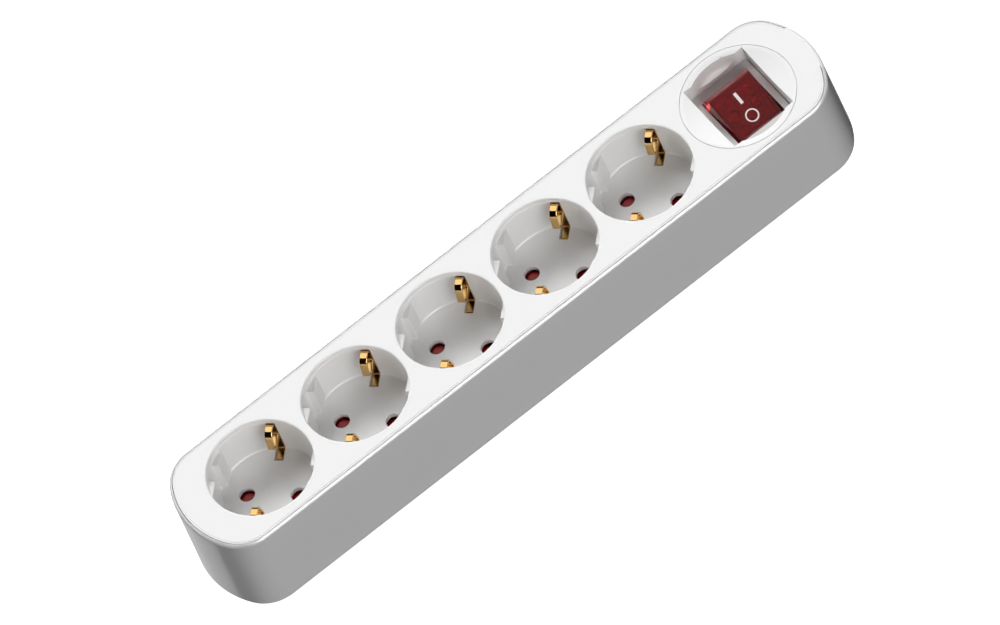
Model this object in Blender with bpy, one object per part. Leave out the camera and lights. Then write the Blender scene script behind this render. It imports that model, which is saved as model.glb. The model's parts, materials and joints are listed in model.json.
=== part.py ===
"""Five-way desk power strip with round earthed sockets, pin shutters and a lit rocker switch.

+X runs along the strip to the switch end, +Y across it, +Z up. The origin is the centre of the
flat underside. Every dimension below is in metres.
"""

import math

import bmesh
import bpy
from mathutils import Matrix, Vector

MM = 0.001
GAP = 0.3 * MM

# Outer form
LENGTH = 279.6 * MM
WIDTH = 50.0 * MM
HEIGHT = 38.5 * MM
CORNER_RADIUS = 14.5 * MM
END_RADIUS = 35.0 * MM
EDGE_RADIUS = 1.55 * MM
FOOT_CHAMFER = 0.6 * MM
WALL = 1.9 * MM
BASE = 1.4 * MM

# Top cover, let into the rim of the housing
RIM_WIDTH = 0.95 * MM
COVER_INSET = 1.6 * MM
COVER_THICKNESS = 2.2 * MM
COVER_CHAMFER = 0.3 * MM
TONGUE_LOW_Y = -11.25 * MM
TONGUE_HIGH_Y = 10.6 * MM

# Sockets
SOCKET_COUNT = 5
SOCKET_PITCH = 42.67 * MM
FIRST_SOCKET_X = -107.0 * MM
COVER_HOLE_RADIUS = 20.0 * MM
WELL_RADIUS = 19.6 * MM
INSERT_RADIUS = 20.9 * MM
WELL_DEPTH = 18.07 * MM
WELL_FLOOR = 1.9 * MM
PIN_OFFSET = 6.7 * MM
PIN_HOLE_RADIUS = 2.85 * MM
GUIDE_FACE = 16.9 * MM
GUIDE_CHANNEL = 3.24 * MM
GUIDE_DEPTH = 3.95 * MM
CLIP_SLOT = 3.5 * MM
CLIP_SLOT_START = 13.95 * MM
ROUND_STEPS = 40
HOLE_STEPS = 14

# Pin shutters, which turn about the middle of each socket
SHUTTER_DROP = 1.4 * MM
SHUTTER_THICKNESS = 1.6 * MM
SHUTTER_PAD_RADIUS = 3.9 * MM
SHUTTER_HUB_RADIUS = 3.4 * MM
POST_RADIUS = 1.3 * MM

# Metal inside
STRIP = 0.8 * MM
BUSBAR_LOW = 3.0 * MM
BUSBAR_HIGH = 11.2 * MM
BUSBAR_START_X = -121.0 * MM
BUSBAR_END_X = 84.0 * MM
PIN_ROOM = 2.5 * MM
EARTH_BAR_TOP = 12.4 * MM
CLIP_WIDTH = 2.7 * MM
CLIP_STRIP = 0.7 * MM

# Rocker switch
SWITCH_X = 107.9 * MM
RECESS_X = 26.2 * MM
RECESS_Y = 31.6 * MM
RECESS_DEPTH = 7.1 * MM
DISH_RADIUS = 21.0 * MM
DISH_DEPTH = 2.4 * MM
LANDING_RADIUS = 21.2 * MM
SCOOP_RADIUS = 18.5 * MM
SCOOP_DEPTH = 6.1 * MM
BEZEL_X = 25.3 * MM
BEZEL_Y = 31.0 * MM
BEZEL_THICKNESS = 1.8 * MM
BODY_X = 22.0 * MM
BODY_Y = 28.2 * MM
BODY_BOTTOM = 10.2 * MM
OPENING_X = 20.4 * MM
OPENING_Y = 24.9 * MM
PANEL_THICKNESS = 1.7 * MM
PIVOT_HEIGHT = 27.7 * MM
ROCKER_X = 19.6 * MM
ROCKER_TOP_X = 18.2 * MM
ROCKER_REACH = 12.15 * MM
ROCKER_TOP = 7.7 * MM
ROCKER_SHOULDER = 3.4 * MM
ROCKER_TILT = math.radians(22)
ROCKER_WALL = 1.3 * MM
POLE_X = 4.8 * MM
BLADE_TOP = 16.0 * MM
BLADE_TILT = math.radians(10)
JUMPER_RADIUS = 1.1 * MM

# Fasteners and cable inlet
BOSS_RADIUS = 3.2 * MM
SCREW_PLACES = [
    (-128.0 * MM, -14.0 * MM),
    (-128.0 * MM, 14.0 * MM),
    (-0.8 * MM, -17.5 * MM),
    (-0.8 * MM, 17.5 * MM),
    (128.0 * MM, -14.0 * MM),
    (128.0 * MM, 14.0 * MM),
]
HANGER_BETWEEN = (1, 4)
HANGER_Y = 16.4 * MM
HANGER_HEAD = 3.9 * MM
HANGER_NECK = 2.05 * MM
INLET_RADIUS = 4.5 * MM
INLET_HEIGHT = 8.0 * MM
CLAMP_X = 128.0 * MM
CLAMP_SCREW_Y = 7.3 * MM

TOP = HEIGHT
COVER_UNDER = TOP - COVER_THICKNESS
WELL_BOTTOM = TOP - WELL_DEPTH
INSERT_UNDER = WELL_BOTTOM - WELL_FLOOR
SHUTTER_TOP = INSERT_UNDER - SHUTTER_DROP
BEZEL_TOP = TOP - RECESS_DEPTH
PANEL_TOP = BEZEL_TOP - BEZEL_THICKNESS - GAP
CORNER_Y = WIDTH / 2 - CORNER_RADIUS
END_CENTRE_X = LENGTH / 2 - END_RADIUS
CORNER_X = END_CENTRE_X + math.sqrt((END_RADIUS - CORNER_RADIUS) ** 2 - CORNER_Y**2)
SOCKETS = [FIRST_SOCKET_X + i * SOCKET_PITCH for i in range(SOCKET_COUNT)]


# ---------------------------------------------------------------- scene and materials


def clear_scene():
    for piece in list(bpy.data.objects):
        bpy.data.objects.remove(piece, do_unlink=True)


def finish(name, colour, roughness, metallic=0.0):
    material = bpy.data.materials.new(name)
    material.use_nodes = True
    shader = material.node_tree.nodes["Principled BSDF"]
    shader.inputs["Base Color"].default_value = (*colour, 1.0)
    shader.inputs["Roughness"].default_value = roughness
    shader.inputs["Metallic"].default_value = metallic
    return material


# ---------------------------------------------------------------- mesh helpers


def piece_from(name, bm, material, at=(0, 0, 0), turn=0.0, parent=None):
    """Makes the object, with its faces out and its sharp edges kept."""
    bmesh.ops.recalc_face_normals(bm, faces=bm.faces)
    mesh = bpy.data.meshes.new(name)
    bm.to_mesh(mesh)
    bm.free()
    mesh.shade_smooth()
    mesh.set_sharp_from_angle(angle=math.radians(30))
    mesh.materials.append(material)
    piece = bpy.data.objects.new(name, mesh)
    piece.location = at
    piece.rotation_euler = (0, 0, turn)
    piece.parent = parent
    bpy.context.scene.collection.objects.link(piece)
    return piece


def circle(radius, z, steps, centre=(0, 0)):
    turns = [2 * math.pi * i / steps for i in range(steps)]
    return [
        (centre[0] + radius * math.cos(a), centre[1] + radius * math.sin(a), z)
        for a in turns
    ]


def loft(rings, closed=False):
    """Skins rings of equal length. Ends are capped, or the last ring joins the first."""
    bm = bmesh.new()
    rows = [[bm.verts.new(point) for point in ring] for ring in rings]
    pairs = list(zip(rows, rows[1:]))
    if closed:
        pairs.append((rows[-1], rows[0]))
    for low, high in pairs:
        for i in range(len(low)):
            j = (i + 1) % len(low)
            bm.faces.new((low[i], low[j], high[j], high[i]))
    if not closed:
        bm.faces.new(reversed(rows[0]))
        bm.faces.new(rows[-1])
    return bm


def turned(profile, steps, closed=False):
    """A turned solid from (radius, height) points."""
    return loft([circle(radius, z, steps) for radius, z in profile], closed)


def box(low, high):
    x0, y0, z0 = low
    x1, y1, z1 = high
    plan = [(x0, y0), (x1, y0), (x1, y1), (x0, y1)]
    return loft([[(x, y, z) for x, y in plan] for z in (z0, z1)])


def prism(plan, low, high):
    """Extrudes an outline of (x, y) points from height low to height high."""
    return loft([[(x, y, z) for x, y in plan] for z in (low, high)])


def side_prism(outline, x_low, x_high):
    """Extrudes an outline of (y, z) points along X."""
    return loft([[(x, y, z) for y, z in outline] for x in (x_low, x_high)])


def tube_along(points, radius, sides):
    """A round wire through the points, its ends cut square."""
    rings = []
    for i, point in enumerate(points):
        before = points[max(i - 1, 0)]
        after = points[min(i + 1, len(points) - 1)]
        way = (Vector(after) - Vector(before)).normalized()
        across = way.orthogonal() if abs(way.z) > 0.95 else way.cross(Vector((0, 0, 1)))
        across.normalize()
        up = way.cross(across)
        ring = []
        for k in range(sides):
            a = 2 * math.pi * k / sides
            spot = Vector(point) + across * radius * math.cos(a) + up * radius * math.sin(a)
            ring.append(tuple(spot))
        rings.append(ring)
    return loft(rings)


def ribbon(path, thickness):
    """Outline of a strip of even thickness whose middle follows the (r, z) path."""
    left = []
    right = []
    for i, (r, z) in enumerate(path):
        before = Vector(path[max(i - 1, 0)])
        after = Vector(path[min(i + 1, len(path) - 1)])
        here = Vector((r, z))
        into = (here - before).normalized() if i else (after - here).normalized()
        out = (after - here).normalized() if i < len(path) - 1 else into
        middle = (into + out).normalized()
        side = Vector((-middle.y, middle.x)) * (thickness / 2 / max(middle.dot(into), 0.5))
        left.append(here + side)
        right.append(here - side)
    return [tuple(p) for p in left] + [tuple(p) for p in reversed(right)]


def helper(name, bm, at=(0, 0, 0), turn=0.0, parent=None):
    """A cutter or a shape to be joined on: it is a guide, and not a piece."""
    guide = piece_from(name, bm, GUIDE, at, turn, parent)
    guide.hide_render = True
    guide.display_type = "WIRE"
    return guide


def combine(piece, other, operation):
    step = piece.modifiers.new(other.name, "BOOLEAN")
    step.operation = operation
    step.solver = "EXACT"
    step.object = other


def cut(piece, other):
    combine(piece, other, "DIFFERENCE")


def join(piece, other):
    combine(piece, other, "UNION")


# ---------------------------------------------------------------- plan outline of the strip


def strip_outline(inset):
    """Plan outline moved in by inset: two straight sides, four corners, two bowed ends."""
    meet = math.atan2(CORNER_Y, CORNER_X - END_CENTRE_X)
    corner = CORNER_RADIUS - inset
    end = END_RADIUS - inset
    corner_steps = 5
    end_steps = 6
    half = []
    for i in range(corner_steps + 1):
        a = -math.pi / 2 + (math.pi / 2 - meet) * i / corner_steps
        half.append((CORNER_X + corner * math.cos(a), -CORNER_Y + corner * math.sin(a)))
    for i in range(1, end_steps):
        a = -meet + 2 * meet * i / end_steps
        half.append((END_CENTRE_X + end * math.cos(a), end * math.sin(a)))
    for i in range(corner_steps + 1):
        a = meet + (math.pi / 2 - meet) * i / corner_steps
        half.append((CORNER_X + corner * math.cos(a), CORNER_Y + corner * math.sin(a)))
    return half + [(-x, -y) for x, y in half]


def shell_from(profile):
    """Solid whose sides follow the plan outline, from (inset, height) points."""
    return loft([[(x, y, z) for x, y in strip_outline(inset)] for inset, z in profile])


def rounded_edge(limit):
    """(inset, height) points of the rounded upper edge, in as far as limit."""
    points = []
    for degrees in (0, 22, 45):
        a = math.radians(degrees)
        inset = EDGE_RADIUS * (1 - math.cos(a))
        points.append((inset, TOP - EDGE_RADIUS * (1 - math.sin(a))))
    rise = math.sqrt(EDGE_RADIUS**2 - (EDGE_RADIUS - limit) ** 2)
    points.append((limit, TOP - EDGE_RADIUS + rise))
    return points


# ---------------------------------------------------------------- housing


def make_housing():
    ledge = COVER_UNDER - GAP
    profile = [(FOOT_CHAMFER, 0), (0, FOOT_CHAMFER)]
    profile += rounded_edge(RIM_WIDTH)
    profile += [(RIM_WIDTH, ledge), (WALL, ledge), (WALL, BASE)]
    housing = piece_from("housing_shell", shell_from(profile), WHITE)

    notch = box(
        (END_CENTRE_X, TONGUE_LOW_Y - GAP, ledge),
        (LENGTH / 2 + MM, TONGUE_HIGH_Y + GAP, TOP + MM),
    )
    cut(housing, helper("tongue_notch", notch))

    for i, (x, y) in enumerate(SCREW_PLACES, 1):
        pillar = turned([(BOSS_RADIUS + MM, BASE / 2), (BOSS_RADIUS + MM, 8 * MM)], 16)
        join(housing, helper(f"pillar_{i}", pillar, (x, y, 0)))
        bore = turned(
            [(3.3 * MM, -MM), (3.3 * MM, 5 * MM), (1.8 * MM, 5 * MM), (1.8 * MM, 9 * MM)],
            HOLE_STEPS,
        )
        cut(housing, helper(f"pillar_bore_{i}", bore, (x, y, 0)))

    for i in range(1, SOCKET_COUNT):
        x = SOCKETS[i] - SOCKET_PITCH / 2
        if i in HANGER_BETWEEN:
            add_hanger(housing, i, x)
        else:
            rest = box((x - MM, -11 * MM, BASE / 2), (x + MM, 11 * MM, BUSBAR_LOW - GAP))
            join(housing, helper(f"busbar_rest_{i}", rest))

    inlet = turned([(INLET_RADIUS, -4 * MM), (INLET_RADIUS, 4 * MM)], 20)
    bmesh.ops.rotate(inlet, verts=inlet.verts, matrix=Matrix.Rotation(math.pi / 2, 3, "Y"))
    cut(housing, helper("inlet_bore", inlet, (LENGTH / 2 - WALL, 0, INLET_HEIGHT)))
    for i, y in enumerate((-CLAMP_SCREW_Y, CLAMP_SCREW_Y), 1):
        post = turned([(2.9 * MM, BASE / 2), (2.9 * MM, INLET_HEIGHT)], 14)
        join(housing, helper(f"clamp_post_{i}", post, (CLAMP_X, y, 0)))
        hole = turned([(1.4 * MM, 2.6 * MM), (1.4 * MM, 9 * MM)], 10)
        cut(housing, helper(f"clamp_post_hole_{i}", hole, (CLAMP_X, y, 0)))
    return housing


def add_hanger(housing, number, x):
    """A keyhole pocket in the base, closed inside, to hang the strip on a wall screw."""
    y = HANGER_Y
    outside = box((x - 8 * MM, y - 5 * MM, BASE / 2), (x + 8 * MM, y + 5 * MM, 5.4 * MM))
    join(housing, helper(f"hanger_pocket_{number}", outside))
    room = box((x - 6.8 * MM, y - 3.9 * MM, BASE), (x + 6.8 * MM, y + 3.9 * MM, 4.2 * MM))
    cut(housing, helper(f"hanger_room_{number}", room))
    head = turned([(HANGER_HEAD, -MM), (HANGER_HEAD, BASE + MM)], 16)
    cut(housing, helper(f"hanger_head_{number}", head, (x - 2.6 * MM, y, 0)))
    neck = box((x - 2.6 * MM, y - HANGER_NECK, -MM), (x + 5.6 * MM, y + HANGER_NECK, BASE + MM))
    cut(housing, helper(f"hanger_neck_{number}", neck))


# ---------------------------------------------------------------- cover


def make_cover():
    profile = [
        (COVER_INSET, COVER_UNDER),
        (COVER_INSET, TOP - COVER_CHAMFER),
        (COVER_INSET + COVER_CHAMFER, TOP),
    ]
    cover = piece_from("top_cover", shell_from(profile), WHITE)

    tongue = helper("tongue", shell_from([(0, COVER_UNDER)] + rounded_edge(EDGE_RADIUS)))
    window = box(
        (LENGTH / 2 - 14 * MM, TONGUE_LOW_Y, COVER_UNDER - MM),
        (LENGTH / 2 + MM, TONGUE_HIGH_Y, TOP + MM),
    )
    combine(tongue, helper("tongue_window", window), "INTERSECT")
    join(cover, tongue)

    for i, x in enumerate(SOCKETS, 1):
        lip = 0.6 * MM
        hole = turned(
            [
                (COVER_HOLE_RADIUS - 0.3 * MM, COVER_UNDER - MM),
                (COVER_HOLE_RADIUS - 0.3 * MM, TOP - lip),
                (COVER_HOLE_RADIUS, TOP - lip / 3),
                (COVER_HOLE_RADIUS + 0.3 * MM, TOP + 0.01 * MM),
                (COVER_HOLE_RADIUS + 0.3 * MM, TOP + MM),
            ],
            ROUND_STEPS,
        )
        cut(cover, helper(f"cover_hole_{i}", hole, (x, 0, 0)))

    radius = LANDING_RADIUS + GAP / 2
    hole = turned([(radius, COVER_UNDER - MM), (radius, TOP + MM)], ROUND_STEPS)
    cut(cover, helper("landing_hole", hole, (SWITCH_X, 0, 0)))

    for i, (x, y) in enumerate(SCREW_PLACES, 1):
        boss = turned([(BOSS_RADIUS, 8 * MM + GAP), (BOSS_RADIUS, TOP - COVER_THICKNESS / 2)], 16)
        join(cover, helper(f"cover_boss_{i}", boss, (x, y, 0)))
        thread = turned([(1.8 * MM, 7 * MM), (1.8 * MM, 22 * MM)], 10)
        cut(cover, helper(f"cover_boss_hole_{i}", thread, (x, y, 0)))
    return cover


def make_switch_landing():
    """Round insert with the dished landing, finger scoops and sunk pocket that hold the switch.

    Its disc fills a hole in the cover, and its block stops against the cover's underside.
    """
    half_x = RECESS_X / 2
    half_y = RECESS_Y / 2
    below = PANEL_TOP - PANEL_THICKNESS
    at = (SWITCH_X, 0, 0)
    disc = turned([(LANDING_RADIUS, COVER_UNDER - 1.2 * MM), (LANDING_RADIUS, TOP)], ROUND_STEPS)
    landing = piece_from("switch_landing", disc, WHITE, at)
    block = box(
        (-half_x - 1.4 * MM, -SCOOP_RADIUS - 1.3 * MM, below),
        (half_x + 1.4 * MM, SCOOP_RADIUS + 1.3 * MM, COVER_UNDER - GAP),
    )
    join(landing, helper("switch_block", block, at))

    dish = [(DISH_RADIUS * k / 6, TOP - DISH_DEPTH * (1 - (k / 6) ** 2)) for k in range(1, 7)]
    dish_cut = turned(dish + [(DISH_RADIUS, TOP + MM)], ROUND_STEPS)
    cut(landing, helper("dish_cut", dish_cut, at))

    scoop = []
    for k in range(5):
        a = math.radians(90) * k / 4
        reach = half_y - 1.2 * MM + (SCOOP_RADIUS - half_y + 1.2 * MM) * math.sin(a)
        scoop.append((reach, TOP - DISH_DEPTH / 4 - (SCOOP_DEPTH - DISH_DEPTH / 4) * math.cos(a)))
    scoop_cut = helper("scoop_cut", turned(scoop + [(SCOOP_RADIUS, TOP + MM)], ROUND_STEPS), at)
    chord = math.sqrt(SCOOP_RADIUS**2 - half_y**2)
    slab = box((-chord, -WIDTH / 2, PANEL_TOP), (chord, WIDTH / 2, TOP + 2 * MM))
    combine(scoop_cut, helper("scoop_slab", slab, at), "INTERSECT")
    cut(landing, scoop_cut)

    pocket = box((-half_x, -half_y, PANEL_TOP), (half_x, half_y, TOP + MM))
    cut(landing, helper("switch_pocket", pocket, at))
    hole_x = BODY_X / 2 + GAP
    hole_y = BODY_Y / 2 + GAP
    hole = box((-hole_x, -hole_y, below - MM), (hole_x, hole_y, PANEL_TOP + MM))
    cut(landing, helper("switch_hole", hole, at))
    return landing


# ---------------------------------------------------------------- sockets


def make_socket(number, x):
    top = COVER_UNDER - GAP
    insert = piece_from(
        f"socket_insert_{number}",
        turned(
            [
                (INSERT_RADIUS, INSERT_UNDER),
                (INSERT_RADIUS, top),
                (WELL_RADIUS, top),
                (WELL_RADIUS, WELL_BOTTOM),
            ],
            ROUND_STEPS,
        ),
        WHITE,
        (x, 0, 0),
    )
    buried = (WELL_RADIUS + INSERT_RADIUS) / 2
    for end, way in enumerate((135, 315)):
        for side in (-1, 1):
            name = f"guide_{number}_{end}_{'a' if side < 0 else 'b'}"
            guide = guide_block(side, buried)
            join(insert, helper(name, guide, (x, 0, 0), math.radians(way)))

    for end, way in enumerate((45, 225)):
        slot = box(
            (CLIP_SLOT_START, -CLIP_SLOT / 2, INSERT_UNDER - MM),
            (INSERT_RADIUS + MM, CLIP_SLOT / 2, top + MM),
        )
        cut(insert, helper(f"clip_slot_{number}_{end}", slot, (x, 0, 0), math.radians(way)))

    for end, side in enumerate((-1, 1)):
        at = (x + side * PIN_OFFSET, -side * PIN_OFFSET, 0)
        hole = turned(
            [(PIN_HOLE_RADIUS, INSERT_UNDER - MM), (PIN_HOLE_RADIUS, WELL_BOTTOM + MM)], 16
        )
        cut(insert, helper(f"pin_hole_{number}_{end}", hole, at))

    post = turned([(POST_RADIUS, 14.3 * MM), (POST_RADIUS, INSERT_UNDER + MM)], 12)
    join(insert, helper(f"shutter_post_{number}", post, (x, 0, 0)))
    return insert


def guide_block(side, buried):
    """Half of a guide flat, beside its channel."""
    plan = [(GUIDE_FACE, GUIDE_CHANNEL)]
    widest = math.sqrt(buried**2 - GUIDE_FACE**2)
    for k in range(4):
        t = widest + (GUIDE_CHANNEL - widest) * k / 3
        plan.append((math.sqrt(buried**2 - t * t), t))
    return prism([(r, side * t) for r, t in plan], INSERT_UNDER + MM, TOP - GUIDE_DEPTH)


def make_shutter(number, x):
    """Two pads on a hub, over the two pin holes, with the hub on the insert's post."""
    reach = PIN_OFFSET * math.sqrt(2)
    low = SHUTTER_TOP - SHUTTER_THICKNESS
    at = (x, 0, 0)
    shutter = piece_from(
        f"shutter_{number}",
        turned([(SHUTTER_HUB_RADIUS, low), (SHUTTER_HUB_RADIUS, SHUTTER_TOP)], 18),
        RED_MATT,
        at,
    )
    diagonal = math.radians(135)
    arm = box((-reach, -1.6 * MM, low), (reach, 1.6 * MM, SHUTTER_TOP))
    join(shutter, helper(f"shutter_arm_{number}", arm, at, diagonal))
    for end, side in enumerate((-1, 1)):
        spot = (x + side * PIN_OFFSET, -side * PIN_OFFSET, 0)
        pad = turned(
            [
                (SHUTTER_PAD_RADIUS, low),
                (SHUTTER_PAD_RADIUS, SHUTTER_TOP - 0.4 * MM),
                (SHUTTER_PAD_RADIUS - 0.6 * MM, SHUTTER_TOP),
            ],
            16,
        )
        join(shutter, helper(f"shutter_pad_{number}_{end}", pad, spot))
    bore = turned([(POST_RADIUS + GAP, low - MM), (POST_RADIUS + GAP, SHUTTER_TOP + MM)], 12)
    cut(shutter, helper(f"shutter_bore_{number}", bore, at))

    turns = 1.5
    steps = 14
    coil = []
    for k in range(steps + 1):
        a = 2 * math.pi * turns * k / steps
        radius = 2.2 * MM
        coil.append(
            (radius * math.cos(a), radius * math.sin(a), 14.3 * MM + 0.7 * MM * k / steps)
        )
    piece_from(f"shutter_spring_{number}", tube_along(coil, 0.18 * MM, 5), STEEL, at)


# ---------------------------------------------------------------- metal inside


def clip_path():
    """Middle line of one half of an earth clip, out from the middle, up and into its loop."""
    points = [
        (0.0, 13.15),
        (13.85, 13.15),
        (14.65, 14.0),
        (14.65, 18.3),
        (15.45, 19.1),
        (19.4, 19.1),
        (20.2, 19.9),
        (20.2, 33.5),
        (19.7, 34.9),
        (18.6, 35.8),
        (17.3, 36.1),
        (16.0, 35.8),
        (15.0, 34.9),
        (14.4, 33.4),
        (13.8, 31.2),
        (13.4, 29.8),
        (13.5, 28.8),
        (14.2, 28.2),
        (15.3, 28.1),
        (17.4, 28.6),
        (19.3, 29.1),
    ]
    return [(r * MM, z * MM) for r, z in points]


def make_earth_clip(number, x):
    half = clip_path()
    whole = [(-r, z) for r, z in reversed(half[1:])] + half[1:]
    outline = ribbon(whole, CLIP_STRIP)
    halfway = CLIP_WIDTH / 2
    bm = loft([[(r, t, z) for r, z in outline] for t in (-halfway, halfway)])
    return piece_from(f"earth_clip_{number}", bm, BRASS, (x, 0, 0), math.radians(45))


def make_earth_busbar():
    low = EARTH_BAR_TOP - STRIP
    plan_half = 2.1 * MM
    bar = box(
        (BUSBAR_START_X, -plan_half, low),
        (SWITCH_X - BODY_X / 2 - 2 * MM, plan_half, EARTH_BAR_TOP),
    )
    return piece_from("earth_busbar", bar, BRASS)


def make_busbar(name, side):
    """A strip on edge with a pair of spring leaves round each pin's place."""
    outer = PIN_OFFSET + PIN_ROOM
    low_y, high_y = sorted((side * outer, side * (outer + STRIP)))
    bar = piece_from(
        name,
        box((BUSBAR_START_X, low_y, BUSBAR_LOW), (BUSBAR_END_X, high_y, BUSBAR_HIGH)),
        COPPER_ALLOY,
    )
    inner = PIN_OFFSET - PIN_ROOM
    for i, centre in enumerate(SOCKETS, 1):
        x = centre - side * PIN_OFFSET
        leaf_y = sorted((side * inner, side * (inner - STRIP)))
        leaf = box(
            (x - 4.4 * MM, leaf_y[0], BUSBAR_LOW), (x + 4.4 * MM, leaf_y[1], BUSBAR_HIGH)
        )
        join(bar, helper(f"{name}_leaf_{i}", leaf))
        web_y = sorted((side * (inner - STRIP), side * (outer + STRIP / 2)))
        web = box(
            (x - 4.4 * MM, web_y[0], BUSBAR_LOW + 0.05 * MM),
            (x - 3.6 * MM, web_y[1], BUSBAR_HIGH - 0.05 * MM),
        )
        join(bar, helper(f"{name}_web_{i}", web))
    return bar


# ---------------------------------------------------------------- switch


def make_switch_body():
    at = (SWITCH_X, 0, 0)
    flange = box(
        (-BEZEL_X / 2, -BEZEL_Y / 2, BEZEL_TOP - BEZEL_THICKNESS),
        (BEZEL_X / 2, BEZEL_Y / 2, BEZEL_TOP),
    )
    body = piece_from("switch_body", flange, GREY, at)
    case = box((-BODY_X / 2, -BODY_Y / 2, BODY_BOTTOM), (BODY_X / 2, BODY_Y / 2, BEZEL_TOP - MM))
    join(body, helper("switch_case", case, at))
    room = box(
        (-OPENING_X / 2, -OPENING_Y / 2, BODY_BOTTOM + 1.8 * MM),
        (OPENING_X / 2, OPENING_Y / 2, PIVOT_HEIGHT),
    )
    cut(body, helper("switch_room", room, at))
    sweep = turned([(OPENING_Y / 2, -OPENING_X / 2), (OPENING_Y / 2, OPENING_X / 2)], 36)
    bmesh.ops.rotate(sweep, verts=sweep.verts, matrix=Matrix.Rotation(math.pi / 2, 3, "Y"))
    cut(body, helper("rocker_sweep", sweep, (SWITCH_X, 0, PIVOT_HEIGHT)))
    bearing = turned([(1.5 * MM, -BODY_X), (1.5 * MM, BODY_X)], 12)
    bmesh.ops.rotate(bearing, verts=bearing.verts, matrix=Matrix.Rotation(math.pi / 2, 3, "Y"))
    cut(body, helper("switch_bearing", bearing, (SWITCH_X, 0, PIVOT_HEIGHT)))
    for pole, x in (("live", -POLE_X), ("neutral", POLE_X)):
        for y in (0.0, -8.7 * MM):
            slot = box(
                (x - 2.3 * MM, y - 0.7 * MM, BODY_BOTTOM - MM),
                (x + 2.3 * MM, y + 0.7 * MM, BODY_BOTTOM + 3 * MM),
            )
            kind = "feed" if y == 0.0 else "load"
            cut(body, helper(f"terminal_slot_{pole}_{kind}", slot, at))
    return body


def make_rocker():
    """The rocker and all that rides in it, on an empty at its trunnions, tilted to off."""
    pivot = bpy.data.objects.new("rocker_pivot", None)
    pivot.location = (SWITCH_X, 0, PIVOT_HEIGHT)
    pivot.rotation_euler = (ROCKER_TILT, 0, 0)
    bpy.context.scene.collection.objects.link(pivot)

    half_x = ROCKER_X / 2
    half_y = math.sqrt(ROCKER_REACH**2 - ROCKER_TOP**2)
    low = -4.0 * MM
    end_angle = math.asin(ROCKER_TOP / ROCKER_REACH)
    low_angle = math.asin(low / ROCKER_REACH)
    right = []
    for k in range(5):
        a = low_angle + (end_angle - low_angle) * k / 4
        right.append((ROCKER_REACH * math.cos(a), ROCKER_REACH * math.sin(a)))
    outline = right + [(-y, z) for y, z in reversed(right)]
    rocker = piece_from("rocker", side_prism(outline, -half_x, half_x), RED_CLEAR, parent=pivot)
    front = [
        (-half_x, 2 * low),
        (half_x, 2 * low),
        (half_x, ROCKER_SHOULDER),
        (ROCKER_TOP_X / 2, ROCKER_TOP),
        (-ROCKER_TOP_X / 2, ROCKER_TOP),
        (-half_x, ROCKER_SHOULDER),
    ]
    flanks = loft([[(x, y, z) for x, z in front] for y in (-2 * half_y, 2 * half_y)])
    combine(rocker, helper("rocker_flanks", flanks, parent=pivot), "INTERSECT")
    room_x = ROCKER_TOP_X / 2 - ROCKER_WALL
    room_y = half_y - ROCKER_WALL
    hollow = box((-room_x, -room_y, low - MM), (room_x, room_y, ROCKER_TOP - ROCKER_WALL))
    cut(rocker, helper("rocker_hollow", hollow, parent=pivot))
    for i, x in enumerate((-POLE_X, POLE_X), 1):
        leg = turned([(2.3 * MM, -8.6 * MM), (2.3 * MM, ROCKER_TOP - ROCKER_WALL / 2)], 14)
        join(rocker, helper(f"plunger_guide_{i}", leg, (x, 0, 0), parent=pivot))
        bore = turned([(1.7 * MM, -10 * MM), (1.7 * MM, 3.2 * MM)], 12)
        cut(rocker, helper(f"plunger_bore_{i}", bore, (x, 0, 0), parent=pivot))
        plunger = turned(
            [
                (0.6 * MM, -11.4 * MM),
                (1.1 * MM, -11.0 * MM),
                (1.35 * MM, -10.3 * MM),
                (1.35 * MM, -3.6 * MM),
            ],
            12,
        )
        piece_from(f"plunger_{i}", plunger, CREAM, (x, 0, 0), parent=pivot)
        coil = []
        steps = 30
        for k in range(steps + 1):
            a = 2 * math.pi * 4 * k / steps
            z = -3.1 * MM + 5.8 * MM * k / steps
            coil.append((1.15 * MM * math.cos(a), 1.15 * MM * math.sin(a), z))
        piece_from(
            f"plunger_spring_{i}", tube_along(coil, 0.17 * MM, 5), STEEL, (x, 0, 0), parent=pivot
        )
    for i, side in enumerate((-1, 1), 1):
        pin = turned([(1.2 * MM, half_x - 0.5 * MM), (1.2 * MM, BODY_X / 2 - 0.1 * MM)], 12)
        turn = Matrix.Rotation(side * math.pi / 2, 3, "Y")
        bmesh.ops.rotate(pin, verts=pin.verts, matrix=turn)
        join(rocker, helper(f"trunnion_{i}", pin, parent=pivot))

    lamp = turned(
        [
            (0.7 * MM, -6.5 * MM),
            (1.8 * MM, -5.6 * MM),
            (1.8 * MM, 4.4 * MM),
            (1.1 * MM, 5.8 * MM),
            (0.4 * MM, 6.4 * MM),
        ],
        12,
    )
    bmesh.ops.rotate(lamp, verts=lamp.verts, matrix=Matrix.Rotation(math.pi / 2, 3, "X"))
    piece_from("neon_lamp", lamp, GLASS, (0, 0, 3.6 * MM), parent=pivot)
    resistor = turned(
        [
            (0.6 * MM, -3.0 * MM),
            (1.0 * MM, -2.6 * MM),
            (1.0 * MM, 2.6 * MM),
            (0.6 * MM, 3.0 * MM),
        ],
        10,
    )
    bmesh.ops.rotate(resistor, verts=resistor.verts, matrix=Matrix.Rotation(math.pi / 2, 3, "X"))
    piece_from("lamp_resistor", resistor, CREAM, (0, 0, 0.4 * MM), parent=pivot)


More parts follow.
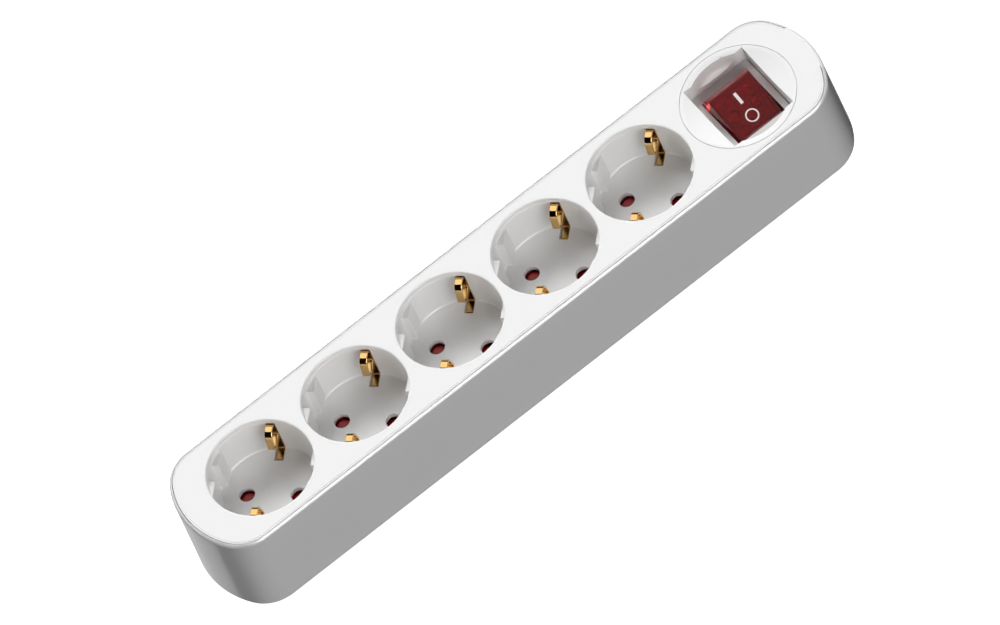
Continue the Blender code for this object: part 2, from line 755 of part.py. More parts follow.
def make_switch_contacts():
    for pole, x in (("live", -POLE_X), ("neutral", POLE_X)):
        blade = box(
            (-1.9 * MM, -8.2 * MM, -STRIP / 2), (1.9 * MM, 8.2 * MM, STRIP / 2)
        )
        stud = helper(
            f"{pole}_stud",
            turned([(1.3 * MM, -1.0 * MM), (1.3 * MM, 0.0)], 10),
            (SWITCH_X + x, 0, 0),
        )
        piece = piece_from(
            f"{pole}_contact_blade", blade, COPPER_ALLOY, (SWITCH_X + x, 0, BLADE_TOP - STRIP / 2)
        )
        piece.rotation_euler = (-BLADE_TILT, 0, 0)
        stud.parent = piece
        stud.location = (0, -7.0 * MM, 0)
        join(piece, stud)

        feed = box((-1.9 * MM, -STRIP / 2, 4 * MM), (1.9 * MM, STRIP / 2, BLADE_TOP - STRIP - GAP))
        piece_from(f"{pole}_feed_terminal", feed, COPPER_ALLOY, (SWITCH_X + x, 0, 0))
        outline = [
            (-9.1 * MM, 4 * MM),
            (-8.3 * MM, 4 * MM),
            (-8.3 * MM, 12.4 * MM),
            (-5.8 * MM, 12.4 * MM),
            (-5.8 * MM, 13.0 * MM),
            (-9.1 * MM, 13.0 * MM),
        ]
        load = side_prism(outline, -1.9 * MM, 1.9 * MM)
        piece_from(f"{pole}_load_terminal", load, COPPER_ALLOY, (SWITCH_X + x, 0, 0))


def smooth_route(points, steps):
    """Points on a smooth curve through the given ones, which its ends double."""
    ends = [points[0]] + list(points) + [points[-1]]
    route = []
    for i in range(1, len(ends) - 2):
        p0, p1, p2, p3 = (Vector(p) for p in ends[i - 1 : i + 3])
        for k in range(steps):
            t = k / steps
            route.append(
                tuple(
                    0.5
                    * (
                        2 * p1
                        + (p2 - p0) * t
                        + (2 * p0 - 5 * p1 + 4 * p2 - p3) * t * t
                        + (3 * p1 - p0 - 3 * p2 + p3) * t**3
                    )
                )
            )
    route.append(tuple(points[-1]))
    return route


def make_jumper(name, pole_x, side, middle, colour):
    """Wire from a switch load terminal, by way of the middle points, to the end of its busbar."""
    bar_y = side * (PIN_OFFSET + PIN_ROOM + STRIP + GAP + JUMPER_RADIUS)
    route = [(SWITCH_X + pole_x, -11.1 * MM, 6.5 * MM)]
    route += [(x * MM, y * MM, z * MM) for x, y, z in middle]
    route += [(BUSBAR_END_X, bar_y, 6.5 * MM), (BUSBAR_END_X - 7 * MM, bar_y, 7.0 * MM)]
    piece_from(name, tube_along(smooth_route(route, 4), JUMPER_RADIUS, 8), colour)


# ---------------------------------------------------------------- fasteners


def make_screw(name, at, head, shank, length, material):
    """A cheese-head screw standing on its head, with a slot in the head's face."""
    tall = 1.6 * MM
    bm = turned([(head, 0), (head, tall), (shank, tall), (shank, tall + length)], 14)
    screw = piece_from(name, bm, material, at)
    slot = box((-head - MM, -0.4 * MM, -MM), (head + MM, 0.4 * MM, 0.7 * MM))
    cut(screw, helper(f"{name}_slot", slot, at))
    return screw


def make_fasteners():
    for i, (x, y) in enumerate(SCREW_PLACES, 1):
        seat = 5 * MM - GAP - 1.6 * MM
        make_screw(f"housing_screw_{i}", (x, y, seat), 2.9 * MM, 1.45 * MM, 14 * MM, STEEL)

    low = INLET_HEIGHT + GAP
    high = low + 5.2 * MM
    half_y = CLAMP_SCREW_Y + 2.9 * MM
    bar = box((CLAMP_X - 2.8 * MM, -half_y, low), (CLAMP_X + 2.8 * MM, half_y, high))
    clamp = piece_from("cable_clamp", bar, CREAM)
    arch = turned([(3.9 * MM, -4 * MM), (3.9 * MM, 4 * MM)], 18)
    bmesh.ops.rotate(arch, verts=arch.verts, matrix=Matrix.Rotation(math.pi / 2, 3, "Y"))
    cut(clamp, helper("clamp_arch", arch, (CLAMP_X, 0, INLET_HEIGHT)))
    for i, y in enumerate((-CLAMP_SCREW_Y, CLAMP_SCREW_Y), 1):
        hole = turned([(1.4 * MM, low - MM), (1.4 * MM, high + MM)], 10)
        cut(clamp, helper(f"clamp_hole_{i}", hole, (CLAMP_X, y, 0)))
        head_z = high + GAP
        screw = turned(
            [
                (1.1 * MM, 3.2 * MM),
                (1.1 * MM, head_z),
                (2.4 * MM, head_z),
                (2.4 * MM, head_z + 1.5 * MM),
            ],
            12,
        )
        piece = piece_from(f"clamp_screw_{i}", screw, STEEL, (CLAMP_X, y, 0))
        slot = box((-3 * MM, -0.35 * MM, head_z + 0.9 * MM), (3 * MM, 0.35 * MM, head_z + 3 * MM))
        cut(piece, helper(f"clamp_screw_slot_{i}", slot, (CLAMP_X, y, 0)))


# ---------------------------------------------------------------- the whole strip

clear_scene()
GUIDE = finish("guide", (0.5, 0.5, 0.5), 0.5)
WHITE = finish("white_plastic", (0.88, 0.88, 0.88), 0.35)
GREY = finish("grey_plastic", (0.42, 0.42, 0.42), 0.5)
RED_MATT = finish("red_shutter_plastic", (0.22, 0.01, 0.012), 0.4)
RED_CLEAR = finish("red_clear_plastic", (0.35, 0.02, 0.02), 0.12)
BRASS = finish("brass", (0.83, 0.6, 0.25), 0.22, 1.0)
COPPER_ALLOY = finish("copper_alloy", (0.8, 0.5, 0.3), 0.3, 1.0)
STEEL = finish("plated_steel", (0.7, 0.7, 0.7), 0.3, 1.0)
GLASS = finish("lamp_glass", (0.9, 0.85, 0.8), 0.1)
CREAM = finish("cream_plastic", (0.8, 0.76, 0.66), 0.5)
LIVE_WIRE = finish("brown_insulation", (0.2, 0.08, 0.04), 0.5)
NEUTRAL_WIRE = finish("blue_insulation", (0.05, 0.15, 0.5), 0.5)

make_housing()
make_cover()
make_switch_landing()
for socket_number, socket_x in enumerate(SOCKETS, 1):
    make_socket(socket_number, socket_x)
    make_shutter(socket_number, socket_x)
    make_earth_clip(socket_number, socket_x)
make_earth_busbar()
make_busbar("live_busbar", 1)
make_busbar("neutral_busbar", -1)
make_switch_body()
make_rocker()
make_switch_contacts()
make_jumper("live_jumper", -POLE_X, 1, [(95, -7, 4.5), (90, 5, 4.5)], LIVE_WIRE)
make_jumper("neutral_jumper", POLE_X, -1, [(104, -15.5, 5), (92, -14, 5.5)], NEUTRAL_WIRE)
make_fasteners()
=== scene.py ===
"""Looks of a five-way desk power strip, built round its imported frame.

Everything is in metres in the frame's own axes: +X along the strip to the switch, +Y across it
and +Z up. Each part of the strip is one operator, and its sizes are in a property group.
"""

import json
import math

import bmesh
import bpy
from mathutils import Matrix, Vector


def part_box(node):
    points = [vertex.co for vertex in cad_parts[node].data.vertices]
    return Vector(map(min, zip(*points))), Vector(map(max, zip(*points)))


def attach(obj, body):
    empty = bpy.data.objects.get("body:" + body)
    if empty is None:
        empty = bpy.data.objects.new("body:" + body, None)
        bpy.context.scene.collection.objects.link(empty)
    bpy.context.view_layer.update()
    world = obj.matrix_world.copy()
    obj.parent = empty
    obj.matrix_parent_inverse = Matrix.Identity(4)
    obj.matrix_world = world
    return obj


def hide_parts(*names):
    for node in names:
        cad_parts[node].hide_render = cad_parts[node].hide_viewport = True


bl_info = {
    "name": "Desk power strip",
    "version": (1, 0, 0),
    "blender": (4, 5, 0),
    "location": "3D View > Sidebar > Strip",
    "description": "Makes the looks of a five-way desk power strip round its frame",
    "category": "Object",
}

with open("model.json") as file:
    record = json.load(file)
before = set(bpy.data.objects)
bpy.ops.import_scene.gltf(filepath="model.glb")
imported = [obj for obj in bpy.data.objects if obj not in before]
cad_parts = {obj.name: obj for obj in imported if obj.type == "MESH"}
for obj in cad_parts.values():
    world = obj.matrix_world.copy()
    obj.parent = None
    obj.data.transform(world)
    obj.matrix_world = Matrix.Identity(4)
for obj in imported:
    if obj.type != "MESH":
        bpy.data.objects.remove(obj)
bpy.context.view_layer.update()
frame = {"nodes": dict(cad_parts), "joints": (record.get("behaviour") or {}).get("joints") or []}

MM = 0.001
SOCKET_NUMBERS = range(1, 6)


def middle(node):
    low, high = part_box(node)
    return (low + high) / 2


HALF_LENGTH, HALF_WIDTH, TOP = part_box("housing_shell")[1]
SOCKETS = [middle(f"socket_insert_{i}").x for i in SOCKET_NUMBERS]
PITCH = SOCKETS[1] - SOCKETS[0]
SWITCH_X = middle("switch_body").x
SWITCH_UNDER, BEZEL_TOP = (corner.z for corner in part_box("switch_body"))
SCREWS = [middle(f"housing_screw_{i}") for i in range(1, 7)]
PIVOT = Vector(next(j["pos_m"] for j in frame["joints"] if j["name"] == "rocker_tilt"))
ROCKER_TILT = math.radians(22)
ROCKER_PLACE = Matrix.Translation(PIVOT) @ Matrix.Rotation(ROCKER_TILT, 4, "X")

# What holds the strip together and hangs it, underneath and inside.
BOSS = 4.2 * MM
BOSS_TOP = 8 * MM
COVER_BOSS = 3.2 * MM
THREAD = 1.8 * MM
CLAMP_POST = 2.9 * MM
KEYHOLE_Y = 16.4 * MM
KEYHOLE_HEAD = 3.9 * MM
KEYHOLE_NECK = 2.05 * MM
KEYHOLE_IN = 2.6 * MM  # from the keyhole's middle back to its head
KEYHOLE_OUT = 3.6 * MM  # and on to the end of its neck


# ---------------------------------------------------------------- sizes and colours


def length(about, millimetres):
    return bpy.props.FloatProperty(name=about, default=millimetres * MM, unit="LENGTH", precision=5)


def colour(about, rgb):
    return bpy.props.FloatVectorProperty(
        name=about, default=rgb, size=3, subtype="COLOR", min=0, max=1
    )


class HousingSizes(bpy.types.PropertyGroup):
    """Outer form of the strip"""

    corner: length("Radius of the plan's four corners", 14.5)
    end: length("Radius of the bowed ends", 35.0)
    edge: length("Rounding of the upper edge", 1.55)
    foot: length("Rounding of the lower edge", 0.6)
    wall: length("Thickness of the housing's wall", 1.9)
    base: length("Thickness of the housing's base", 1.4)
    rim: length("Width of the rim that shows round the cover", 1.1)
    steps: bpy.props.IntProperty(name="Faces round each corner", default=18, min=3)


class CoverSizes(bpy.types.PropertyGroup):
    """Top cover and the landing of the switch"""

    inset: length("From the outer face to the cover's edge", 1.34)
    thickness: length("Thickness of the cover", 2.2)
    softening: length("Rounding of the cover's edge", 0.1)
    bead: length("Width of the bead along the cover's edge", 0.5)
    groove: length("Width and depth of the groove inside the bead", 0.16)
    tongue_low: length("Across the strip, low side of the end tongue", -11.25)
    tongue_high: length("Across the strip, high side of the end tongue", 10.6)
    hole: length("Radius of a socket hole at the cover's top", 20.2)
    lip: length("Rounding of a socket hole's lip", 0.6)
    dish: length("Radius of the switch landing", 21.0)
    dish_depth: length("Depth of the switch landing", 2.4)
    seam: length("Radius of the round insert that holds the switch", 21.2)
    gap: length("Width of the seam round the landing", 0.28)
    seam_depth: length("Depth of the seam round the landing", 0.5)
    scoop: length("Radius of the finger scoops", 18.5)
    scoop_depth: length("Depth of the finger scoops", 5.7)
    pocket_x: length("Switch pocket along the strip", 26.2)
    pocket_y: length("Switch pocket across the strip", 31.6)


class SocketSizes(bpy.types.PropertyGroup):
    """One socket well with its guides, clip and shutter"""

    well: length("Inner radius of the well", 19.6)
    outer: length("Outer radius of the insert", 20.9)
    depth: length("From the cover's top to the well's floor", 18.07)
    floor: length("Thickness of the well's floor", 1.9)
    fillet: length("Rounding between the wall and the floor", 0.7)
    guide_face: length("From the middle to the face of a guide", 16.9)
    guide_channel: length("Half the width of the channel in a guide", 3.24)
    guide_depth: length("From the cover's top to the guide's top", 3.95)
    slot: length("Width of the slot that takes the earth clip", 3.5)
    slot_start: length("From the middle to the slot's inner end", 13.95)
    pin_offset: length("Of a pin hole from the middle, along and across", 6.7)
    pin_hole: length("Radius of a pin hole", 2.85)
    clip_width: length("Width of the earth clip's strip", 2.7)
    clip_strip: length("Thickness of the earth clip's strip", 0.7)


class SwitchSizes(bpy.types.PropertyGroup):
    """Rocker switch"""

    bezel_x: length("Bezel along the strip", 25.3)
    bezel_y: length("Bezel across the strip", 31.0)
    bezel: length("Thickness of the bezel", 1.8)
    body_x: length("Case along the strip", 22.0)
    body_y: length("Case across the strip", 28.2)
    opening_x: length("Rocker opening along the strip", 20.4)
    opening_y: length("Rocker opening across the strip", 24.9)
    rocker_x: length("Rocker along the strip, at its widest", 19.6)
    face_x: length("Rocker's top face along the strip", 18.2)
    reach: length("Radius of the rocker's ends about its pivot", 12.15)
    face: length("Of the rocker's top face above its pivot", 7.7)
    shoulder: length("Height above the pivot where the flanks lean in", 3.4)
    wall: length("Thickness of the rocker's wall", 1.3)
    round_wall: length("Outer radius of the wall round the lamp", 7.6)
    pole: length("Of each pole from the middle, along the strip", 4.8)
    ring: length("Middle radius of the ring mark", 2.25)
    line: length("Width of the ring mark's line", 0.5)
    bar: length("Length of the bar mark", 4.7)
    bar_width: length("Width of the bar mark", 1.15)
    mark: length("Of each mark from the middle of the face", 3.92)


class Colours(bpy.types.PropertyGroup):
    """Colours of the finishes"""

    white: colour("Housing, cover and sockets", (0.8, 0.8, 0.8))
    grey: colour("Switch bezel and case", (0.56, 0.545, 0.535))
    rocker: colour("Rocker", (0.5, 0.022, 0.024))
    shutter: colour("Pin shutters", (0.62, 0.012, 0.016))
    brass: colour("Earth clips and earth bar", (0.78, 0.5, 0.2))
    copper: colour("Live and neutral metal", (0.78, 0.46, 0.26))
    steel: colour("Screws and springs", (0.62, 0.63, 0.64))
    cream: colour("Clamp and plungers", (0.74, 0.69, 0.57))
    floor: colour("Pale floor", (0.86, 0.86, 0.86))


GROUPS = {
    "strip_housing": HousingSizes,
    "strip_cover": CoverSizes,
    "strip_socket": SocketSizes,
    "strip_switch": SwitchSizes,
    "strip_colours": Colours,
}


# ---------------------------------------------------------------- node trees


class Value:
    """An output of a node. A sum or product with it adds a Math node."""

    def __init__(self, tree, socket):
        self.tree = tree
        self.socket = socket

    def __add__(self, other):
        return self.tree.node("ShaderNodeMath", {"operation": "ADD"}, {0: self, 1: other})

    def __mul__(self, other):
        return self.tree.node("ShaderNodeMath", {"operation": "MULTIPLY"}, {0: self, 1: other})

    __radd__ = __add__
    __rmul__ = __mul__


class Tree:
    """Adds nodes to a node tree, each with its settings and its sockets' values or links."""

    def __init__(self, tree):
        self.tree = tree

    def node(self, kind, settings=None, numbered=None, output=0, **named):
        """Sockets go by number, or by name with _ for each space."""
        made = self.tree.nodes.new(kind)
        for key, value in (settings or {}).items():
            if key == "stops":
                self.set_stops(made.color_ramp, value)
            else:
                setattr(made, key, value)
        for key, value in (numbered or {}).items():
            self.feed(made.inputs[key], value)
        for key, value in named.items():
            self.feed(made.inputs[key.replace("_", " ")], value)
        return Value(self, made.outputs[output]) if made.outputs else made

    def set_stops(self, ramp, stops):
        for extra in range(len(stops) - 2):
            ramp.elements.new(0.5 + 0.01 * extra)
        for element, (position, level) in zip(ramp.elements, stops):
            element.position = position
            element.color = (level, level, level, 1)

    def feed(self, socket, value):
        if isinstance(value, Value):
            self.tree.links.new(value.socket, socket)
        elif socket.type == "RGBA" and len(value) == 3:
            socket.default_value = (*value, 1)
        else:
            socket.default_value = value


class Finish(Tree):
    """A material: patterns in object space that feed one shader."""

    def __init__(self, name, **constants):
        self.material = bpy.data.materials.new(name)
        self.material.use_nodes = True
        super().__init__(self.material.node_tree)
        self.shader = self.tree.nodes["Principled BSDF"]
        for key, value in constants.items():
            self.feed(self.shader.inputs[key.replace("_", " ")], value)
        self.place = self.node("ShaderNodeTexCoord", output="Object")

    def stretched(self, *scale):
        """Object space with each axis scaled, for patterns that run one way."""
        return self.node("ShaderNodeMapping", Vector=self.place, Scale=scale)

    def noise(self, scale, detail, place=None):
        place = place or self.place
        return self.node("ShaderNodeTexNoise", Vector=place, Scale=scale, Detail=detail)

    def patches(self, noise, start, stop):
        """The noise raised to 0 below start and 1 above stop."""
        return self.node("ShaderNodeValToRGB", {"stops": [(start, 0), (stop, 1)]}, Fac=noise)

    def mix(self, share, first, second):
        return self.node(
            "ShaderNodeMix", {"data_type": "RGBA"}, {0: share, 6: first, 7: second}, output=2
        )

    def done(self, rgb, roughness, height=None, depth=0.0):
        """Feeds the shader its colour, roughness and bumps that are so many metres deep."""
        self.feed(self.shader.inputs["Base Color"], rgb)
        self.feed(self.shader.inputs["Roughness"], roughness)
        if height:
            bumps = self.node("ShaderNodeBump", Height=height, Distance=depth)
            self.feed(self.shader.inputs["Normal"], bumps)
        return self.material


def shade(rgb, by):
    return tuple(min(1.0, part * by) for part in rgb)


def moulded_plastic(name, rgb, roughness, grain, coat=0.0):
    """Injection-moulded plastic: faint flow marks, a fine skin and soft rubbed patches."""
    finish = Finish(name, Coat_Roughness=0.12, Coat_Weight=coat, IOR=1.49)
    flow = finish.noise(28, 2, finish.stretched(0.35, 1, 1))
    rubbed = finish.patches(finish.noise(90, 4), 0.45, 0.75)
    skin = finish.noise(2600, 2)
    pores = finish.node("ShaderNodeTexVoronoi", Vector=finish.place, Scale=1900, Randomness=1.0)
    return finish.done(
        finish.mix(flow, shade(rgb, 0.997), shade(rgb, 1.003)),
        rubbed * 0.02 + skin * 0.04 + (roughness - 0.03),
        skin * 0.6 + pores * 0.4,
        0.000006 * grain,
    )


def stamped_metal(name, rgb, roughness, way, tarnish=0.3):
    """Rolled and stamped sheet: fine lines one way, with a little tarnish in patches."""
    finish = Finish(name, Metallic=1.0)
    rolled = finish.noise(1400, 3, finish.stretched(*way))
    patch = finish.patches(finish.noise(160, 5), 0.42, 0.8)
    specks = finish.noise(5200, 2)
    dull = shade((rgb[0], rgb[1] * 0.88, rgb[2] * 0.72), 0.8)
    bright = finish.mix(patch * tarnish, rgb, dull)
    return finish.done(
        finish.mix(specks * 0.12, bright, shade(rgb, 0.6)),
        rolled * 0.1 + patch * 0.12 + (roughness - 0.05),
        rolled * 0.8 + specks * 0.2,
        0.000008,
    )


def plated_steel(name, rgb):
    """Zinc plate: soft crystal clouds with a faint warm cast in some."""
    finish = Finish(name, Metallic=1.0)
    smooth = {"feature": "SMOOTH_F1"}
    cells = finish.node(
        "ShaderNodeTexVoronoi", smooth, Vector=finish.place, Scale=1500, Smoothness=0.6
    )
    cloud = finish.noise(420, 4)
    warm = (rgb[0] * 1.05, rgb[1], rgb[2] * 0.86)
    tone = finish.mix(cloud, shade(rgb, 0.85), warm)
    return finish.done(tone, cells * 0.2 + cloud * 0.1 + 0.2, cells, 0.000012)


def clear_red(name, rgb):
    """Tinted see-through moulding, polished outside, with swirls from its gate."""
    finish = Finish(name, Transmission_Weight=0.8, IOR=1.5, Coat_Weight=0.3, Coat_Roughness=0.05)
    swirl = finish.noise(140, 3, finish.stretched(1, 0.4, 1))
    scuffs = finish.patches(finish.noise(900, 5, finish.stretched(1, 6, 1)), 0.55, 0.8)
    tone = finish.mix(swirl, shade(rgb, 0.9), shade(rgb, 1.05))
    return finish.done(tone, scuffs * 0.04 + 0.04, swirl * 0.7 + scuffs * 0.3, 0.000003)


def printed_white(name):
    """Pad-printed ink: a slightly uneven, thin film."""
    finish = Finish(name, IOR=1.45)
    film = finish.noise(2400, 3)
    tone = finish.mix(film, (0.78, 0.78, 0.77), (0.86, 0.86, 0.86))
    return finish.done(tone, film * 0.15 + 0.35, film, 0.000006)


def lamp_glass(name):
    """Drawn glass tube with a cloudy end and an amber tinge."""
    finish = Finish(name, Transmission_Weight=0.9, IOR=1.47)
    cloud = finish.noise(700, 3)
    return finish.done(finish.mix(cloud, (0.9, 0.82, 0.72), (0.75, 0.62, 0.5)), cloud * 0.15 + 0.04)


def pale_floor(name, rgb):
    """Matt floor lit from below, as a light table is, with a barely visible tooth."""
    finish = Finish(name, Emission_Strength=1.3, Emission_Color=rgb)
    tooth = finish.noise(900, 3)
    tone = finish.mix(tooth, shade(rgb, 0.3), shade(rgb, 0.32))
    return finish.done(tone, tooth * 0.1 + 0.75, tooth, 0.00002)


def finishes():
    """All the materials, made once and kept by name."""
    if "white_plastic_finish" not in bpy.data.materials:
        colours = bpy.context.scene.strip_colours
        tone = {name: tuple(getattr(colours, name)) for name in Colours.__annotations__}
        moulded_plastic("white_plastic_finish", tone["white"], 0.3, 0.6, 0.9)
        moulded_plastic("cover_plastic_finish", tone["white"], 0.45, 0.6, 0.1)
        moulded_plastic("well_plastic_finish", tone["white"], 0.34, 0.8, 0.4)
        moulded_plastic("grey_plastic_finish", tone["grey"], 0.36, 1.6)
        moulded_plastic("shutter_finish", tone["shutter"], 0.3, 1.0, 0.1)
        moulded_plastic("cream_plastic_finish", tone["cream"], 0.42, 1.2)
        moulded_plastic("brown_wire_finish", (0.11, 0.035, 0.015), 0.45, 1.5)
        moulded_plastic("blue_wire_finish", (0.02, 0.09, 0.4), 0.45, 1.5)
        stamped_metal("brass_clip_finish", tone["brass"], 0.1, (0.2, 0.2, 1), 0.12)
        stamped_metal("brass_bar_finish", tone["brass"], 0.2, (0.1, 1, 1))
        stamped_metal("contact_finish", tone["copper"], 0.24, (0.1, 1, 1), 0.5)
        plated_steel("plated_steel_finish", tone["steel"])
        clear_red("clear_red_finish", tone["rocker"])
        printed_white("printed_mark_finish")
        lamp_glass("lamp_glass_finish")
        pale_floor("floor_finish", tone["floor"])
    return {material.name: material for material in bpy.data.materials}


# ---------------------------------------------------------------- mesh helpers


def circle(radius, z, steps):
    turns = [2 * math.pi * k / steps for k in range(steps)]
    return [(radius * math.cos(a), radius * math.sin(a), z) for a in turns]


def loft(rings, closed=False):
    """Skins rings of equal length. Ends are capped, or the last ring joins the first."""
    bm = bmesh.new()
    rows = [[bm.verts.new(point) for point in ring] for ring in rings]
    pairs = list(zip(rows, rows[1:]))
    if closed:
        pairs.append((rows[-1], rows[0]))
    for low, high in pairs:
        for i in range(len(low)):
            j = (i + 1) % len(low)
            bm.faces.new((low[i], low[j], high[j], high[i]))
    if not closed:
        bm.faces.new(reversed(rows[0]))
        bm.faces.new(rows[-1])
    bmesh.ops.recalc_face_normals(bm, faces=bm.faces)
    return bm


def turned(profile, steps=64, closed=False):
    """A turned solid from (radius, height) points."""
    return loft([circle(radius, z, steps) for radius, z in profile], closed)


def rod(radius, low, high, steps=64):
    return turned([(radius, low), (radius, high)], steps)


def in_mm(points):
    return [tuple(part * MM for part in point) for point in points]


def box(low, high):
    plan = [(low[0], low[1]), (high[0], low[1]), (high[0], high[1]), (low[0], high[1])]
    return loft([[(x, y, z) for x, y in plan] for z in (low[2], high[2])])


def block(size_x, size_y, low, high, corner=0.0, steps=6):
    """A box about the Z axis with its four upright edges rounded."""
    plan = []
    for quarter in range(4):
        side_x = 1 if quarter in (0, 3) else -1
        side_y = 1 if quarter in (0, 1) else -1
        for k in range(steps + 1 if corner else 1):
            a = math.pi / 2 * (quarter + k / steps)
            x = side_x * (size_x / 2 - corner) + corner * math.cos(a)
            y = side_y * (size_y / 2 - corner) + corner * math.sin(a)
            plan.append((x, y))
    return loft([[(x, y, z) for x, y in plan] for z in (low, high)])


def arc(centre, radius, start, stop, steps):
    """Points on an arc, from start to stop in degrees."""
    found = []
    for k in range(steps + 1):
        a = math.radians(start + (stop - start) * k / steps)
        found.append((centre[0] + radius * math.cos(a), centre[1] + radius * math.sin(a)))
    return found


def moved(bm, at=(0, 0, 0), turn=0.0, axis="Z"):
    """The shape turned in degrees about an axis through the origin, then moved."""
    place = Matrix.Translation(at) @ Matrix.Rotation(math.radians(turn), 4, axis)
    bmesh.ops.transform(bm, matrix=place, verts=bm.verts)
    return bm


def join(bm, *place):
    """A step for carve() that adds the shape, moved there first."""
    return "UNION", moved(bm, *place)


def cut(bm, *place):
    """A step for carve() that takes the shape away, moved there first."""
    return "DIFFERENCE", moved(bm, *place)


def keep(bm):
    """A step for carve() that keeps only what lies inside the shape."""
    return "INTERSECT", bm


def new_piece(name, bm):
    mesh = bpy.data.meshes.new(name)
    bm.to_mesh(mesh)
    bm.free()
    piece = bpy.data.objects.new(name, mesh)
    bpy.context.scene.collection.objects.link(piece)
    return piece


def settle(piece):
    """Makes what the modifiers give the piece's own mesh, and clears them."""
    graph = bpy.context.evaluated_depsgraph_get()
    mesh = bpy.data.meshes.new_from_object(piece.evaluated_get(graph))
    piece.modifiers.clear()
    piece.data = mesh
    if not mesh.polygons:
        raise RuntimeError(f"{piece.name} came out empty")
    return piece


def carve(piece, steps):
    """Joins and cuts the piece by turns with each (operation, shape) of steps."""
    tools = []
    for operation, bm in steps:
        tool = new_piece("tool", bm)
        tool.hide_render = True
        step = piece.modifiers.new("Carve", "BOOLEAN")
        step.operation = operation
        step.solver = "EXACT"
        step.object = tool
        tools.append(tool)
    settle(piece)
    for tool in tools:
        bpy.data.objects.remove(tool, do_unlink=True)
    return piece


def take(piece):
    """The piece's mesh as a shape, with the piece itself gone."""
    bm = bmesh.new()
    bm.from_mesh(piece.data)
    bpy.data.objects.remove(piece, do_unlink=True)
    return bm


def soften(piece, width, angle=35):
    """Rounds the piece's sharp edges."""
    step = piece.modifiers.new("Soften", "BEVEL")
    step.width = width
    step.segments = 3
    step.limit_method = "ANGLE"
    step.angle_limit = math.radians(angle)
    return settle(piece)


def polish(piece, material, angle=30):
    """Smooth shading that leaves flat faces flat, and the piece's material."""
    piece.data.shade_smooth()
    piece.data.set_sharp_from_angle(angle=math.radians(angle))
    step = piece.modifiers.new("Even normals", "WEIGHTED_NORMAL")
    step.keep_sharp = True
    step.weight = 80
    settle(piece)
    piece.data.materials.clear()
    piece.data.materials.append(material)
    return piece


def stand_in(piece, body, nodes):
    """The piece rides on the body and stands for the frame's own nodes."""
    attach(piece, body)
    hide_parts(*nodes)
    return piece


# ---------------------------------------------------------------- what repeats or follows a path


def geometry_tree(name, **inputs):
    """A node group with a geometry output, the named inputs and the input Material."""
    group = bpy.data.node_groups.new(name, "GeometryNodeTree")
    group.interface.new_socket("Geometry", in_out="OUTPUT", socket_type="NodeSocketGeometry")
    inputs["Material"] = "Material"
    for label, kind in inputs.items():
        group.interface.new_socket(label, in_out="INPUT", socket_type=f"NodeSocket{kind}")
    made = Tree(group)
    source = group.nodes.new("NodeGroupInput")
    made.given = {label: Value(made, source.outputs[label]) for label in inputs}
    return made, made.given


def end_tree(made, geometry):
    """Closes a tree with Realize Instances and Set Material."""
    real = made.node("GeometryNodeRealizeInstances", Geometry=geometry)
    coated = made.node("GeometryNodeSetMaterial", Geometry=real, Material=made.given["Material"])
    made.node("NodeGroupOutput", Geometry=coated)
    return made.tree


def sweep(made, line, outline):
    """Closes a tree with the outline swept along the line."""
    solid = made.node("GeometryNodeCurveToMesh", Curve=line, Profile_Curve=outline, Fill_Caps=True)
    return end_tree(made, solid)


def row_tree():
    """Copies its geometry along X."""
    made, given = geometry_tree("copies_in_a_row", Geometry="Geometry", Copies="Int", Pitch="Float")
    step = made.node("ShaderNodeCombineXYZ", X=given["Pitch"])
    line = made.node("GeometryNodeMeshLine", {"mode": "OFFSET"}, Count=given["Copies"], Offset=step)
    return end_tree(
        made,
        made.node("GeometryNodeInstanceOnPoints", Points=line, Instance=given["Geometry"]),
    )


def strip_tree():
    """Bends a strip with rounded edges along the line of its mesh."""
    made, given = geometry_tree(
        "bent_strip", Geometry="Geometry", Width="Float", Thickness="Float", Edge="Float"
    )
    line = made.node("GeometryNodeMeshToCurve", Mesh=given["Geometry"])
    outline = made.node(
        "GeometryNodeCurvePrimitiveQuadrilateral",
        Width=given["Width"],
        Height=given["Thickness"],
    )
    rounded = made.node(
        "GeometryNodeFilletCurve", {"mode": "POLY"}, Curve=outline, Count=3, Radius=given["Edge"]
    )
    return sweep(made, line, rounded)


def wire_tree():
    """A round wire along the smooth line through its mesh's points."""
    made, given = geometry_tree("round_wire", Geometry="Geometry", Radius="Float", Sides="Int")
    line = made.node("GeometryNodeMeshToCurve", Mesh=given["Geometry"])
    smooth = made.node("GeometryNodeCurveSplineType", {"spline_type": "CATMULL_ROM"}, {0: line})
    fine = made.node("GeometryNodeSetSplineResolution", None, {0: smooth}, Resolution=8)
    outline = made.node(
        "GeometryNodeCurvePrimitiveCircle", Resolution=given["Sides"], Radius=given["Radius"]
    )
    return sweep(made, fine, outline)


def coil_tree():
    """A round-wire coil that rises from the origin."""
    made, given = geometry_tree(
        "coil_spring", Turns="Float", Coil="Float", Height="Float", Wire="Float"
    )
    line = made.node(
        "GeometryNodeCurveSpiral",
        Resolution=28,
        Rotations=given["Turns"],
        Start_Radius=given["Coil"],
        End_Radius=given["Coil"],
        Height=given["Height"],
    )
    outline = made.node("GeometryNodeCurvePrimitiveCircle", Resolution=10, Radius=given["Wire"])
    return sweep(made, line, outline)


def scatter_tree():
    """Puts another object's mesh at each point of its own mesh."""
    made, given = geometry_tree("copies_at_points", Geometry="Geometry", Pattern="Object")
    pattern = made.node("GeometryNodeObjectInfo", output="Geometry", Object=given["Pattern"])
    return end_tree(
        made,
        made.node("GeometryNodeInstanceOnPoints", Points=given["Geometry"], Instance=pattern),
    )


